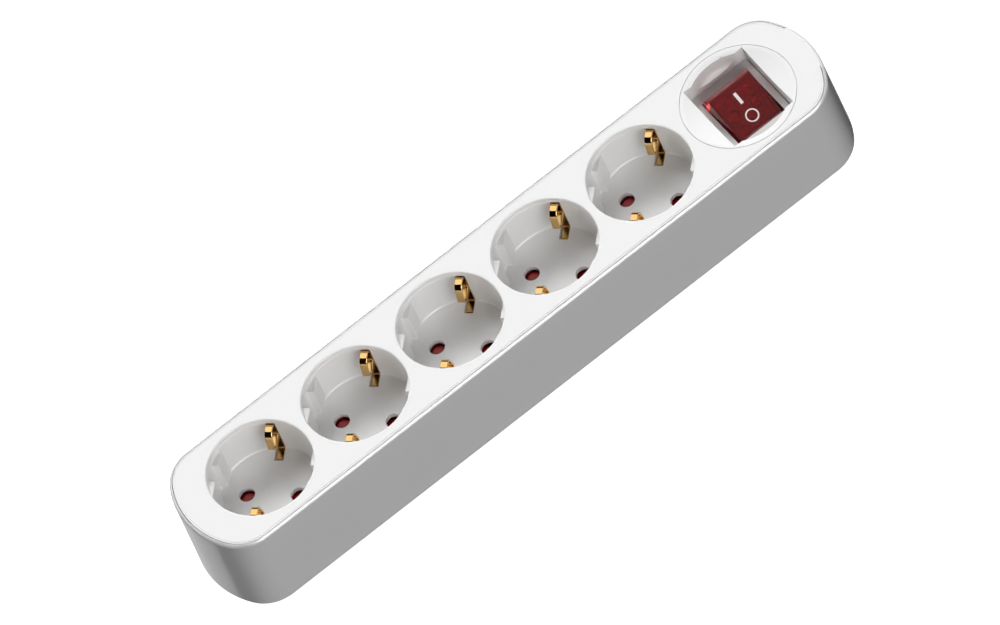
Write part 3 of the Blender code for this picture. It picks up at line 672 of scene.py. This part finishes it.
def grow(piece, group, **inputs):
    """Runs a node group on the piece and keeps the result as its mesh."""
    step = piece.modifiers.new(group.name, "NODES")
    step.node_group = group
    for item in group.interface.items_tree:
        if item.in_out == "INPUT" and item.name in inputs:
            step[item.identifier] = inputs[item.name]
    return settle(piece)


def line_piece(name, points, linked=True):
    """A piece whose mesh is only points, linked into a line or loose."""
    bm = bmesh.new()
    spots = [bm.verts.new(point) for point in points]
    if linked:
        for first, second in zip(spots, spots[1:]):
            bm.edges.new((first, second))
    return new_piece(name, bm)


def coil_piece(name, turns, coil, height, wire, material):
    """A coil spring, from its turns and then its radius, height and wire radius in mm."""
    return grow(
        line_piece(name, [(0, 0, 0)]),
        coil_tree(),
        Turns=turns,
        Coil=coil * MM,
        Height=height * MM,
        Wire=wire * MM,
        Material=material,
    )


def rounded_path(corners, steps=7):
    """Points of a bent line from (r, z, bend radius) corners."""
    found = [Vector(corners[0][:2])]
    for before, here, after in zip(corners, corners[1:], corners[2:]):
        at = Vector(here[:2])
        back = (Vector(before[:2]) - at).normalized()
        on = (Vector(after[:2]) - at).normalized()
        half = back.angle(on) / 2
        run = here[2] / math.tan(half)
        centre = at + (back + on).normalized() * here[2] / math.sin(half)
        start = at + back * run - centre
        stop = at + on * run - centre
        sweep = start.angle_signed(stop)
        for k in range(steps + 1):
            found.append(centre + Matrix.Rotation(-sweep * k / steps, 2) @ start)
    found.append(Vector(corners[-1][:2]))
    return found


# ---------------------------------------------------------------- the strip's outline


def strip_outline(inset):
    """Plan outline moved in by inset: straight sides, four corners and two bowed ends."""
    size = bpy.context.scene.strip_housing
    corner_y = HALF_WIDTH - size.corner
    end_x = HALF_LENGTH - size.end
    corner_x = end_x + math.sqrt((size.end - size.corner) ** 2 - corner_y**2)
    meet = math.degrees(math.atan2(corner_y, corner_x - end_x))
    corner = size.corner - inset
    half = arc((corner_x, -corner_y), corner, -90, -meet, size.steps)
    half += arc((end_x, 0), size.end - inset, -meet, meet, size.steps * 2)[1:-1]
    half += arc((corner_x, corner_y), corner, meet, 90, size.steps)
    return half + [(-x, -y) for x, y in half]


def shell_from(profile):
    """Solid whose sides follow the plan outline, from (inset, height) points."""
    return loft([[(x, y, z) for x, y in strip_outline(inset)] for inset, z in profile])


def upper_edge(limit):
    """(inset, height) points of the rounded upper edge, in as far as limit."""
    radius = bpy.context.scene.strip_housing.edge
    stop = math.degrees(math.asin(min(1.0, math.sqrt(1 - (1 - limit / radius) ** 2))))
    points = []
    for k in range(9):
        a = math.radians(stop * k / 8)
        points.append((radius * (1 - math.cos(a)), TOP - radius * (1 - math.sin(a))))
    return points


# ---------------------------------------------------------------- operators


class StripOperator(bpy.types.Operator):
    """Base of the operators that make the strip"""

    bl_options = {"REGISTER", "UNDO"}

    def execute(self, context):
        self.make(context.scene, finishes())
        return {"FINISHED"}


class STRIP_OT_housing(StripOperator):
    """Makes the housing with its rim, base, screw bores and hanging keyholes"""

    bl_idname = "strip.housing"
    bl_label = "Housing"

    def make(self, scene, finish):
        size = scene.strip_housing
        cover = scene.strip_cover
        ledge = TOP - cover.thickness - 0.05 * MM
        foot = []
        for lean in (0, 0.52, 1.05, 1.57):
            foot.append((size.foot * (1 - math.sin(lean)), size.foot * (1 - math.cos(lean))))
        inside = size.wall + 0.5 * MM
        profile = foot + upper_edge(size.rim - 0.12 * MM)
        profile += [
            (size.rim - 0.04 * MM, TOP - 0.14 * MM),
            (size.rim, TOP - 0.3 * MM),
            (size.rim, ledge),
            (size.wall, ledge),
            (size.wall, size.base + 0.5 * MM),
            (inside, size.base),
        ]
        piece = new_piece("housing", shell_from(profile))
        notch = box(
            (HALF_LENGTH - size.end, cover.tongue_low - 0.15 * MM, ledge),
            (HALF_LENGTH + MM, cover.tongue_high + 0.15 * MM, TOP + MM),
        )
        steps = [cut(notch)]
        bore = in_mm([(3.9, -0.01), (3.3, 0.5), (3.3, 5), (1.8, 5), (1.8, 9)])
        for spot in SCREWS:
            at = (spot.x, spot.y, 0)
            steps += [join(rod(BOSS, size.base / 2, BOSS_TOP), at), cut(turned(bore), at)]
        gaps = [(first + second) / 2 for first, second in zip(SOCKETS, SOCKETS[1:])]
        for x in gaps:
            if x in (gaps[0], gaps[-1]):
                steps += self.hanger(x, size.base)
            else:
                rest = box((x - MM, -11 * MM, size.base / 2), (x + MM, 11 * MM, 2.7 * MM))
                steps.append(join(rest))
        mouth = turned(in_mm([(4.5, -2.6), (4.5, 1.2), (4.9, 1.75), (5.6, 2.1), (5.6, 3.2)]))
        steps.append(cut(moved(mouth, (0, 0, 0), 90, "Y"), (HALF_LENGTH - 1.9 * MM, 0, 8 * MM)))
        for i in (1, 2):
            at = (middle("cable_clamp").x, middle(f"clamp_screw_{i}").y, 0)
            steps.append(join(rod(CLAMP_POST, size.base / 2, BOSS_TOP, 32), at))
            steps.append(cut(rod(1.4 * MM, 2.6 * MM, 9 * MM, 24), at))
        carve(piece, steps)
        polish(piece, finish["white_plastic_finish"])
        stand_in(piece, "root", ["housing_shell"])

    def hanger(self, x, base):
        """A keyhole pocket in the base, closed inside."""
        y = KEYHOLE_Y
        outside = box((x - 8 * MM, y - 5 * MM, base / 2), (x + 8 * MM, y + 5 * MM, 5.4 * MM))
        room = box((x - 6.8 * MM, y - 3.9 * MM, base), (x + 6.8 * MM, y + 3.9 * MM, 4.2 * MM))
        wide = KEYHOLE_HEAD
        head = turned([(4.2 * MM, -0.01 * MM), (wide, 0.3 * MM), (wide, base + MM)])
        neck = box(
            (x - KEYHOLE_IN, y - KEYHOLE_NECK, -MM),
            (x + KEYHOLE_OUT, y + KEYHOLE_NECK, base + MM),
        )
        end = rod(KEYHOLE_NECK, -MM, base + MM, 40)
        return [
            join(outside),
            cut(room),
            cut(head, (x - KEYHOLE_IN, y, 0)),
            cut(neck),
            cut(end, (x + KEYHOLE_OUT, y, 0)),
        ]


class STRIP_OT_cover(StripOperator):
    """Makes the top cover with its socket holes and the landing of the switch"""

    bl_idname = "strip.cover"
    bl_label = "Top cover"

    def make(self, scene, finish):
        size = scene.strip_cover
        under = TOP - size.thickness
        edge = size.softening
        inner = size.inset + size.bead
        profile = [
            (size.inset, under),
            (size.inset, TOP - 2 * edge),
            (size.inset + edge, TOP - edge / 2),
            (inner, TOP - edge / 2),
            (inner, TOP - size.groove),
            (inner + size.groove, TOP - size.groove),
            (inner + size.groove, TOP - edge / 2),
            (inner + size.groove + edge / 2, TOP),
        ]
        piece = new_piece("cover", shell_from(profile))
        sides = [(0, under)] + upper_edge(scene.strip_housing.edge)
        tongue = new_piece("tongue", shell_from(sides))
        window = box(
            (HALF_LENGTH - 14 * MM, size.tongue_low, under - MM),
            (HALF_LENGTH + MM, size.tongue_high, TOP + MM),
        )
        steps = [join(take(carve(tongue, [keep(window)])))]
        for x in SOCKETS:
            steps.append(cut(self.hole(size, under), (x, 0, 0)))
        steps += self.landing(size)
        for spot in SCREWS:
            at = (spot.x, spot.y, 0)
            steps.append(join(rod(COVER_BOSS, BOSS_TOP + 0.3 * MM, TOP - MM, 40), at))
            steps.append(cut(rod(THREAD, 7 * MM, 22 * MM, 24), at))
        carve(piece, steps)
        polish(piece, finish["cover_plastic_finish"])
        stand_in(piece, "root", ["top_cover", "switch_landing"])

    def hole(self, size, under):
        """Cutter of a socket hole, with the lip's rounding in its side."""
        inner = size.hole - size.lip
        profile = [(inner, under - MM), (inner, TOP - size.lip)]
        centre = (size.hole, TOP - size.lip)
        profile += arc(centre, size.lip, 180, 95, 8)[1:]
        profile.append((profile[-1][0], TOP + MM))
        return turned(profile, 128)

    def landing(self, size):
        """The dished landing, the finger scoops and the sunk pocket."""
        half_x = size.pocket_x / 2
        half_y = size.pocket_y / 2
        panel = BEZEL_TOP - bpy.context.scene.strip_switch.bezel - 0.1 * MM
        below = panel - 1.9 * MM
        outside = box(
            (-half_x - 1.4 * MM, -size.scoop - 1.3 * MM, below),
            (half_x + 1.4 * MM, size.scoop + 1.3 * MM, TOP - MM),
        )
        dish = []
        for k in range(1, 13):
            dish.append((size.dish * k / 12, TOP - size.dish_depth * (1 - (k / 12) ** 2)))
        dish.append((size.dish, TOP + MM))
        seam = [(size.seam, TOP - size.seam_depth), (size.seam + size.gap, TOP - size.seam_depth)]
        seam += [(size.seam + size.gap, TOP + MM), (size.seam, TOP + MM)]
        start = half_y - 1.2 * MM
        scoop = []
        for k in range(13):
            a = math.radians(90) * k / 12
            reach = start + (size.scoop - start) * math.sin(a)
            depth = (size.scoop_depth - size.dish_depth / 4) * math.cos(a)
            scoop.append((reach, TOP - size.dish_depth / 4 - depth))
        scoop.append((size.scoop, TOP + MM))
        chord = math.sqrt(size.scoop**2 - half_y**2)
        shape = new_piece("scoop", turned(scoop, 128))
        slab = box((-chord, -HALF_WIDTH, panel), (chord, HALF_WIDTH, TOP + 2 * MM))
        carve(shape, [keep(slab)])
        at = (SWITCH_X, 0, 0)
        return [
            join(outside, at),
            cut(turned(dish, 128), at),
            cut(turned(seam, 128, closed=True), at),
            cut(take(shape), at),
            cut(block(size.pocket_x, size.pocket_y, panel, TOP + MM, 0.3 * MM), at),
            cut(block(22.3 * MM, 28.5 * MM, below - MM, panel + MM), at),
        ]


class STRIP_OT_sockets(StripOperator):
    """Makes the five socket wells with their guides, slots and pin holes"""

    bl_idname = "strip.sockets"
    bl_label = "Socket wells"

    def make(self, scene, finish):
        size = scene.strip_socket
        floor = TOP - size.depth
        under = floor - size.floor
        top = TOP - scene.strip_cover.thickness - 0.02 * MM
        seam = 0.18 * MM
        profile = [(size.outer, under), (size.outer, top), (size.well + seam, top)]
        profile.append((size.well, top - seam))
        profile += arc((size.well - size.fillet, floor + size.fillet), size.fillet, 0, -90, 6)
        piece = new_piece("socket_wells", turned(profile, 128))
        buried = (size.well + size.outer) / 2
        steps = []
        for way in (135, 315):
            for side in (-1, 1):
                guide = self.guide(size, side, buried, under + MM)
                steps.append(join(guide, (0, 0, 0), way))
        for way in (45, 225):
            slot = box(
                (size.slot_start, -size.slot / 2, under - MM),
                (size.outer + MM, size.slot / 2, top + MM),
            )
            steps.append(cut(slot, (0, 0, 0), way))
        for side in (-1, 1):
            hole = [
                (size.pin_hole, under - MM),
                (size.pin_hole, floor - 0.2 * MM),
                (size.pin_hole + 0.06 * MM, floor - 0.06 * MM),
                (size.pin_hole + 0.2 * MM, floor + 0.01 * MM),
                (size.pin_hole + 0.2 * MM, floor + MM),
            ]
            at = (side * size.pin_offset, -side * size.pin_offset, 0)
            steps.append(cut(turned(hole, 48), at))
        steps.append(join(rod(1.3 * MM, 14.3 * MM, under + MM, 24)))
        carve(piece, steps)
        piece.data.transform(Matrix.Translation((SOCKETS[0], 0, 0)))
        polish(piece, finish["well_plastic_finish"])
        grow(piece, row_tree(), Copies=5, Pitch=PITCH, Material=finish["well_plastic_finish"])
        stand_in(piece, "root", [f"socket_insert_{i}" for i in SOCKET_NUMBERS])

    def guide(self, size, side, buried, low):
        """Half of a guide flat beside its channel, with a rounded inner corner."""
        turn = 0.45 * MM
        corner = (size.guide_face + turn, size.guide_channel + turn)
        plan = arc(corner, turn, 270, 180, 4)
        widest = math.sqrt(buried**2 - size.guide_face**2)
        for k in range(9):
            t = widest + (size.guide_channel - widest) * k / 8
            plan.append((math.sqrt(buried**2 - t * t), t))
        top = TOP - size.guide_depth
        rings = []
        edge = 0.3 * MM
        levels = [(0, low), (0, top - edge), (0.09 * MM, top - 0.09 * MM), (edge, top)]
        for inset, z in levels:
            ring = []
            for r, t in plan:
                shown = r < size.guide_face + turn
                ring.append((r + inset * shown, side * (t + inset * shown * (t < corner[1])), z))
            rings.append(ring)
        return loft(rings)


CLIP_CORNERS = [
    (0.0, 13.15, 0.0),
    (14.65, 13.15, 0.8),
    (14.65, 19.1, 0.6),
    (20.2, 19.1, 0.7),
    (20.2, 36.1, 2.6),
    (14.6, 36.1, 2.4),
    (12.7, 27.7, 1.6),
    (19.4, 29.15, 0.0),
]  # half of a clip: from the socket's middle, height and bend radius, in mm


class STRIP_OT_clips(StripOperator):
    """Makes the five brass earth clips, each one strip bent to shape"""

    bl_idname = "strip.clips"
    bl_label = "Earth clips"

    def make(self, scene, finish):
        size = scene.strip_socket
        path = rounded_path(in_mm(CLIP_CORNERS), 9)
        diagonal = Vector((math.cos(math.radians(45)), math.sin(math.radians(45)), 0))
        whole = [(-r, z) for r, z in reversed(path[1:])] + [tuple(spot) for spot in path]
        start = Vector((SOCKETS[0], 0, 0))
        spots = [start + diagonal * r + Vector((0, 0, z)) for r, z in whole]
        piece = line_piece("earth_clips", spots)
        brass = finish["brass_clip_finish"]
        grow(
            piece,
            strip_tree(),
            Width=size.clip_width,
            Thickness=size.clip_strip,
            Edge=0.16 * MM,
            Material=brass,
        )
        polish(piece, brass, 40)
        grow(piece, row_tree(), Copies=5, Pitch=PITCH, Material=brass)
        stand_in(piece, "root", [f"earth_clip_{i}" for i in SOCKET_NUMBERS])


class STRIP_OT_shutters(StripOperator):
    """Makes the pin shutters and the springs on their posts"""

    bl_idname = "strip.shutters"
    bl_label = "Pin shutters"

    def make(self, scene, finish):
        size = scene.strip_socket
        low, high = (corner.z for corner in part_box("shutter_1"))
        reach = size.pin_offset * math.sqrt(2)
        for number, x in zip(SOCKET_NUMBERS, SOCKETS):
            edge = 0.3 * MM
            hub = [(3.4 * MM, low), (3.4 * MM, high - edge), (3.1 * MM, high)]
            piece = new_piece(f"pin_shutter_{number}", turned(hub, 48))
            arm = box((-reach, -1.6 * MM, low), (reach, 1.6 * MM, high - 0.6 * MM))
            rib = box((-reach, -0.5 * MM, low), (reach, 0.5 * MM, high - 0.25 * MM))
            steps = [join(arm, (0, 0, 0), 135), join(rib, (0, 0, 0), 135)]
            for side in (-1, 1):
                pad = [
                    (3.9 * MM, low),
                    (3.9 * MM, low + 0.4 * MM),
                    (2.6 * MM, low + 0.5 * MM),
                    (2.55 * MM, high - 0.15 * MM),
                    (2.4 * MM, high),
                    (1.2 * MM, high),
                    (0.5 * MM, high - 0.12 * MM),
                ]
                at = (side * size.pin_offset, -side * size.pin_offset, 0)
                steps.append(join(turned(pad, 48), at))
            steps.append(cut(rod(1.6 * MM, low - MM, high + MM, 32)))
            carve(piece, steps)
            piece.data.transform(Matrix.Translation((x, 0, 0)))
            polish(piece, finish["shutter_finish"])
            stand_in(piece, f"shutter_{number}", [f"shutter_{number}"])
        steel = finish["plated_steel_finish"]
        piece = coil_piece("shutter_springs", 2.5, 2.2, 0.75, 0.14, steel)
        piece.data.transform(Matrix.Translation((SOCKETS[0], 0, 14.2 * MM)))
        polish(piece, steel, 50)
        grow(piece, row_tree(), Copies=5, Pitch=PITCH, Material=steel)
        stand_in(piece, "root", [f"shutter_spring_{i}" for i in SOCKET_NUMBERS])


class STRIP_OT_switch_body(StripOperator):
    """Makes the switch's bezel and case"""

    bl_idname = "strip.switch_body"
    bl_label = "Switch body"

    def make(self, scene, finish):
        size = scene.strip_switch
        piece = new_piece(
            "switch_case",
            block(size.bezel_x, size.bezel_y, BEZEL_TOP - size.bezel, BEZEL_TOP, 0.5 * MM),
        )
        soften(piece, 0.2 * MM)
        case = block(size.body_x, size.body_y, SWITCH_UNDER, BEZEL_TOP - MM, 0.5 * MM)
        room = block(size.opening_x, size.opening_y, SWITCH_UNDER + 1.8 * MM, PIVOT.z, 0.3 * MM)
        rise = Vector((0, 0, PIVOT.z))
        half = size.opening_x / 2
        steps = [
            join(case),
            cut(room),
            cut(rod(size.opening_y / 2, -half, half, 96), rise, 90, "Y"),
            cut(rod(1.5 * MM, -size.body_x, size.body_x, 32), rise, 90, "Y"),
        ]
        for x in (-size.pole, size.pole):
            for y in (0.0, -8.7 * MM):
                slot = box(
                    (x - 2.3 * MM, y - 0.7 * MM, SWITCH_UNDER - MM),
                    (x + 2.3 * MM, y + 0.7 * MM, SWITCH_UNDER + 3 * MM),
                )
                steps.append(cut(slot))
        carve(piece, steps)
        piece.data.transform(Matrix.Translation((SWITCH_X, 0, 0)))
        polish(piece, finish["grey_plastic_finish"])
        stand_in(piece, "root", ["switch_body"])


class STRIP_OT_rocker(StripOperator):
    """Makes the clear rocker, its marks and what rides inside it"""

    bl_idname = "strip.rocker"
    bl_label = "Rocker"

    def make(self, scene, finish):
        size = scene.strip_switch
        self.shell(size, finish["clear_red_finish"])
        self.marks(size, finish["printed_mark_finish"])
        self.lamp(finish)
        for i, x in ((1, -size.pole), (2, size.pole)):
            self.plunger(i, x, finish)

    def place(self, piece, slot, nodes):
        piece.data.transform(ROCKER_PLACE)
        stand_in(piece, "rocker", nodes)

    def shell(self, size, material):
        low = -4.0 * MM
        stop = math.degrees(math.asin(size.face / size.reach))
        start = math.degrees(math.asin(low / size.reach))
        right = arc((0, 0), size.reach, start, stop, 20)
        outline = right + [(-y, z) for y, z in reversed(right)]
        ends = (-size.rocker_x / 2, size.rocker_x / 2)
        body = new_piece("rocker_shell", loft([[(x, y, z) for y, z in outline] for x in ends]))
        wide = size.rocker_x / 2
        narrow = size.face_x / 2
        front = [
            (-wide, 2 * low),
            (wide, 2 * low),
            (wide, size.shoulder),
            (narrow, size.face),
            (-narrow, size.face),
            (-wide, size.shoulder),
        ]
        reach = 2 * size.reach
        flanks = loft([[(x, y, z) for x, z in front] for y in (-reach, reach)])
        carve(body, [keep(flanks)])
        soften(body, 0.22 * MM, 32)
        half_y = math.sqrt(size.reach**2 - size.face**2)
        room = block(
            size.face_x - 2 * size.wall,
            2 * (half_y - size.wall),
            low - MM,
            size.face - size.wall,
            1.2 * MM,
        )
        outer = size.round_wall
        under = size.face - size.wall / 2
        profile = [(outer, low + MM), (outer, under), (outer - MM, under), (outer - MM, low + MM)]
        steps = [cut(room), join(turned(profile, 72, closed=True))]
        for x in (-size.pole, size.pole):
            steps.append(join(rod(2.3 * MM, -8.6 * MM, under, 40), (x, 0, 0)))
            steps.append(cut(rod(1.7 * MM, -10 * MM, 3.2 * MM, 32), (x, 0, 0)))
        for side in (-1, 1):
            pin = turned(in_mm([(1.2, 9.3), (1.2, 10.7), (1.0, 10.9)]), 32)
            steps.append(join(pin, (0, 0, 0), side * 90, "Y"))
        carve(body, steps)
        polish(body, material)
        self.place(body, "clear_red", ["rocker"])

    def marks(self, size, material):
        low = size.face - 0.01 * MM
        high = size.face + 0.03 * MM
        inner = size.ring - size.line / 2
        outer = size.ring + size.line / 2
        ring = turned([(outer, low), (outer, high), (inner, high), (inner, low)], 96, closed=True)
        bar = block(size.bar_width, size.bar, low, high, 0.04 * MM)
        for name, shape, y in (("off_mark", ring, -size.mark), ("on_mark", bar, size.mark)):
            piece = new_piece(name, moved(shape, (0, y, 0)))
            polish(piece, material)
            self.place(piece, "white_plastic", [])

    def lamp(self, finish):
        profile = [(0.35, -6.5), (0.75, -6.4), (1.5, -6.0), (1.8, -5.2), (1.8, 4.4), (1.6, 5.2)]
        profile += [(1.1, 5.8), (0.5, 6.2), (0.2, 6.4)]
        glass = moved(turned(in_mm(profile), 40), (0, 0, 0), 90, "X")
        piece = new_piece("lamp_tube", moved(glass, (0, 0, 3.6 * MM)))
        polish(piece, finish["lamp_glass_finish"], 60)
        self.place(piece, "lamp_glass", ["neon_lamp"])
        waist = [(0.5, -3.0), (0.9, -2.9), (1.0, -2.6), (1.0, -2.0), (0.85, -1.7), (0.85, 1.7)]
        waist += [(1.0, 2.0), (1.0, 2.6), (0.9, 2.9), (0.5, 3.0)]
        body = moved(turned(in_mm(waist), 32), (0, 0, 0), 90, "X")
        piece = new_piece("resistor_body", moved(body, (0, 0, 0.4 * MM)))
        polish(piece, finish["cream_plastic_finish"])
        self.place(piece, "cream_plastic", ["lamp_resistor"])

    def plunger(self, number, x, finish):
        profile = [(0.25, -11.4), (0.7, -11.3), (1.1, -10.9), (1.35, -10.3)]
        profile += [(1.35, -3.9), (1.15, -3.6)]
        piece = new_piece(f"plunger_pin_{number}", moved(turned(in_mm(profile), 32), (x, 0, 0)))
        polish(piece, finish["cream_plastic_finish"])
        self.place(piece, "cream_plastic", [f"plunger_{number}"])
        steel = finish["plated_steel_finish"]
        piece = coil_piece(f"plunger_coil_{number}", 5.0, 1.2, 5.9, 0.16, steel)
        piece.data.transform(Matrix.Translation((x, 0, -3.15 * MM)))
        polish(piece, steel, 50)
        self.place(piece, "spring_steel", [f"plunger_spring_{number}"])


class STRIP_OT_metalwork(StripOperator):
    """Makes the screws and wires, and finishes the frame's own inner pieces"""

    bl_idname = "strip.metalwork"
    bl_label = "Screws, wires and bars"

    def make(self, scene, finish):
        steel = finish["plated_steel_finish"]
        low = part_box("housing_screw_1")[0].z
        spots = [(spot.x, spot.y, low) for spot in SCREWS]
        piece = line_piece("housing_screws", spots, linked=False)
        pattern = self.screw_pattern()
        pattern.hide_render = True
        grow(piece, scatter_tree(), Pattern=pattern, Material=steel)
        bpy.data.objects.remove(pattern, do_unlink=True)
        polish(piece, steel)
        stand_in(piece, "root", [f"housing_screw_{i}" for i in range(1, 7)])

        wires = {
            "live": ("brown", -4.8, 1, [(95, -7, 4.5), (90, 5, 4.5)]),
            "neutral": ("blue", 4.8, -1, [(104, -15.5, 5), (92, -14, 5.5)]),
        }
        bar_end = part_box("live_busbar")[1]
        for pole, (tone, pole_x, side, between) in wires.items():
            bar_y = side * (bar_end.y + 1.4 * MM)
            route = [(SWITCH_X + pole_x * MM, -11.1 * MM, 6.5 * MM)]
            route += in_mm(between)
            route += [(bar_end.x, bar_y, 6.5 * MM), (bar_end.x - 7 * MM, bar_y, 7.0 * MM)]
            wire = line_piece(f"{pole}_wire", route)
            cloth = finish[f"{tone}_wire_finish"]
            grow(wire, wire_tree(), Radius=1.1 * MM, Sides=20, Material=cloth)
            polish(wire, cloth, 50)
            stand_in(wire, "root", [f"{pole}_jumper"])

        kept = {
            "earth_busbar": "brass_bar_finish",
            "live_busbar": "contact_finish",
            "neutral_busbar": "contact_finish",
            "cable_clamp": "cream_plastic_finish",
            "clamp_screw_1": "plated_steel_finish",
            "clamp_screw_2": "plated_steel_finish",
        }
        for pole in ("live", "neutral"):
            for kind in ("contact_blade", "feed_terminal", "load_terminal"):
                kept[f"{pole}_{kind}"] = "contact_finish"
        for node, name in kept.items():
            mesh = frame["nodes"][node].data
            mesh.materials.clear()
            mesh.materials.append(finish[name])

    def screw_pattern(self):
        """A pan-head screw standing on its head, with a cross recess in the head's face."""
        outline = [(1.9, 0.0), (2.5, 0.16), (2.8, 0.5), (2.9, 0.9), (2.9, 1.6), (1.45, 1.6)]
        turn = 1.7
        while turn < 14.6:
            outline += [(1.2, turn), (1.45, turn + 0.45), (1.2, turn + 0.9)]
            turn += 1.1
        outline += [(1.1, 15.2), (0.3, 15.6)]
        piece = new_piece("screw_pattern", turned(in_mm(outline), 28))
        steps = []
        for turn in (0, 90):
            wing = box((-1.5 * MM, -0.35 * MM, -MM), (1.5 * MM, 0.35 * MM, 0.9 * MM))
            steps.append(cut(wing, (0, 0, 0), turn))
        return carve(piece, steps)


# Degrees round from +X, above the floor and across, then power.
SOFT_LIGHTS = {
    "back_right": (60, 35, 30, 3.05),
    "back_left": (120, 35, 30, 1.65),
    "front": (270, 35, 30, 0.97),
    "front_low": (270, 10, 30, 0.83),
}
SHEEN_LIGHTS = {
    "front_sheen": (285, 35, 60, 5.6),
    "back_sheen": (75, 55, 50, 0.76),
    "end_sheen": (105, -54, 50, 0.36),
    "rocker_sheen": (313, 77, 40, 0.1),
}


CAMERA_TARGET = Vector((-0.00681, -0.01055, TOP))
CAMERA_BACK = Vector((-0.1490, -0.5609, 0.8144))
CAMERA_ROLL = math.radians(-25.6)
VIEW_WIDTH = 0.35112
FLOOR_HALF = 3.0
FLOOR_GAP = 0.2 * MM


class STRIP_OT_stage(StripOperator):
    """Makes the floor, the soft lights and the camera"""

    bl_idname = "strip.stage"
    bl_label = "Stage"

    def make(self, scene, finish):
        corner = Vector((FLOOR_HALF, FLOOR_HALF, 0))
        down = Vector((0, 0, 1))
        floor = new_piece("floor", box(-corner - down * 20 * MM, corner - down * FLOOR_GAP))
        floor.data.materials.append(finish["floor_finish"])
        scene.view_settings.view_transform = "Standard"
        for seen in ("diffuse", "glossy", "transmission", "shadow"):
            setattr(floor, f"visible_{seen}", False)
        scene.world = bpy.data.worlds.new("dark_studio")
        scene.world.use_nodes = True
        scene.world.node_tree.nodes["Background"].inputs["Strength"].default_value = 0.0
        for name, aim in SOFT_LIGHTS.items():
            rig = self.soft_light(name, *aim)
            rig.visible_glossy = False
        for name, aim in SHEEN_LIGHTS.items():
            rig = self.soft_light(name, *aim)
            rig.visible_diffuse = False
        self.camera(scene)

    def soft_light(self, name, azimuth, height, spread, power):
        """A wide light far off."""
        lamp = bpy.data.lights.new(name, "SUN")
        lamp.angle = math.radians(spread)
        lamp.energy = power
        rig = bpy.data.objects.new(name, lamp)
        turn = Matrix.Rotation(math.radians(azimuth), 4, "Z")
        rig.matrix_world = turn @ Matrix.Rotation(math.radians(90 - height), 4, "Y")
        bpy.context.scene.collection.objects.link(rig)
        return rig

    def camera(self, scene):
        lens = bpy.data.cameras.new("camera")
        lens.type = "ORTHO"
        lens.ortho_scale = VIEW_WIDTH
        lens.clip_start = 0.05
        lens.clip_end = 20
        rig = bpy.data.objects.new("camera", lens)
        roll = Matrix.Rotation(CAMERA_ROLL, 4, "Z")
        aim = CAMERA_BACK.to_track_quat("Z", "Y").to_matrix().to_4x4()
        rig.matrix_world = Matrix.Translation(CAMERA_TARGET + CAMERA_BACK) @ aim @ roll
        scene.collection.objects.link(rig)
        scene.camera = rig


class STRIP_PT_panel(bpy.types.Panel):
    """Lists the parts of the strip"""

    bl_label = "Power strip"
    bl_idname = "STRIP_PT_panel"
    bl_space_type = "VIEW_3D"
    bl_region_type = "UI"
    bl_category = "Strip"

    def draw(self, context):
        for operator in OPERATORS:
            self.layout.operator(operator.bl_idname)
        for name in GROUPS:
            group = getattr(context.scene, name)
            column = self.layout.column(heading=group.bl_rna.description)
            for field in group.__annotations__:
                column.prop(group, field)


OPERATORS = [
    STRIP_OT_stage,
    STRIP_OT_housing,
    STRIP_OT_cover,
    STRIP_OT_sockets,
    STRIP_OT_clips,
    STRIP_OT_shutters,
    STRIP_OT_switch_body,
    STRIP_OT_rocker,
    STRIP_OT_metalwork,
]


def register():
    for group in GROUPS.values():
        bpy.utils.register_class(group)
    for name, group in GROUPS.items():
        setattr(bpy.types.Scene, name, bpy.props.PointerProperty(type=group))
    for operator in OPERATORS:
        bpy.utils.register_class(operator)
    bpy.utils.register_class(STRIP_PT_panel)


def unregister():
    bpy.utils.unregister_class(STRIP_PT_panel)
    for operator in reversed(OPERATORS):
        bpy.utils.unregister_class(operator)
    for name, group in GROUPS.items():
        delattr(bpy.types.Scene, name)
        bpy.utils.unregister_class(group)


def main():
    register()
    for operator in OPERATORS:
        family, name = operator.bl_idname.split(".")
        getattr(getattr(bpy.ops, family), name)()


if __name__ == "__main__":
    main()
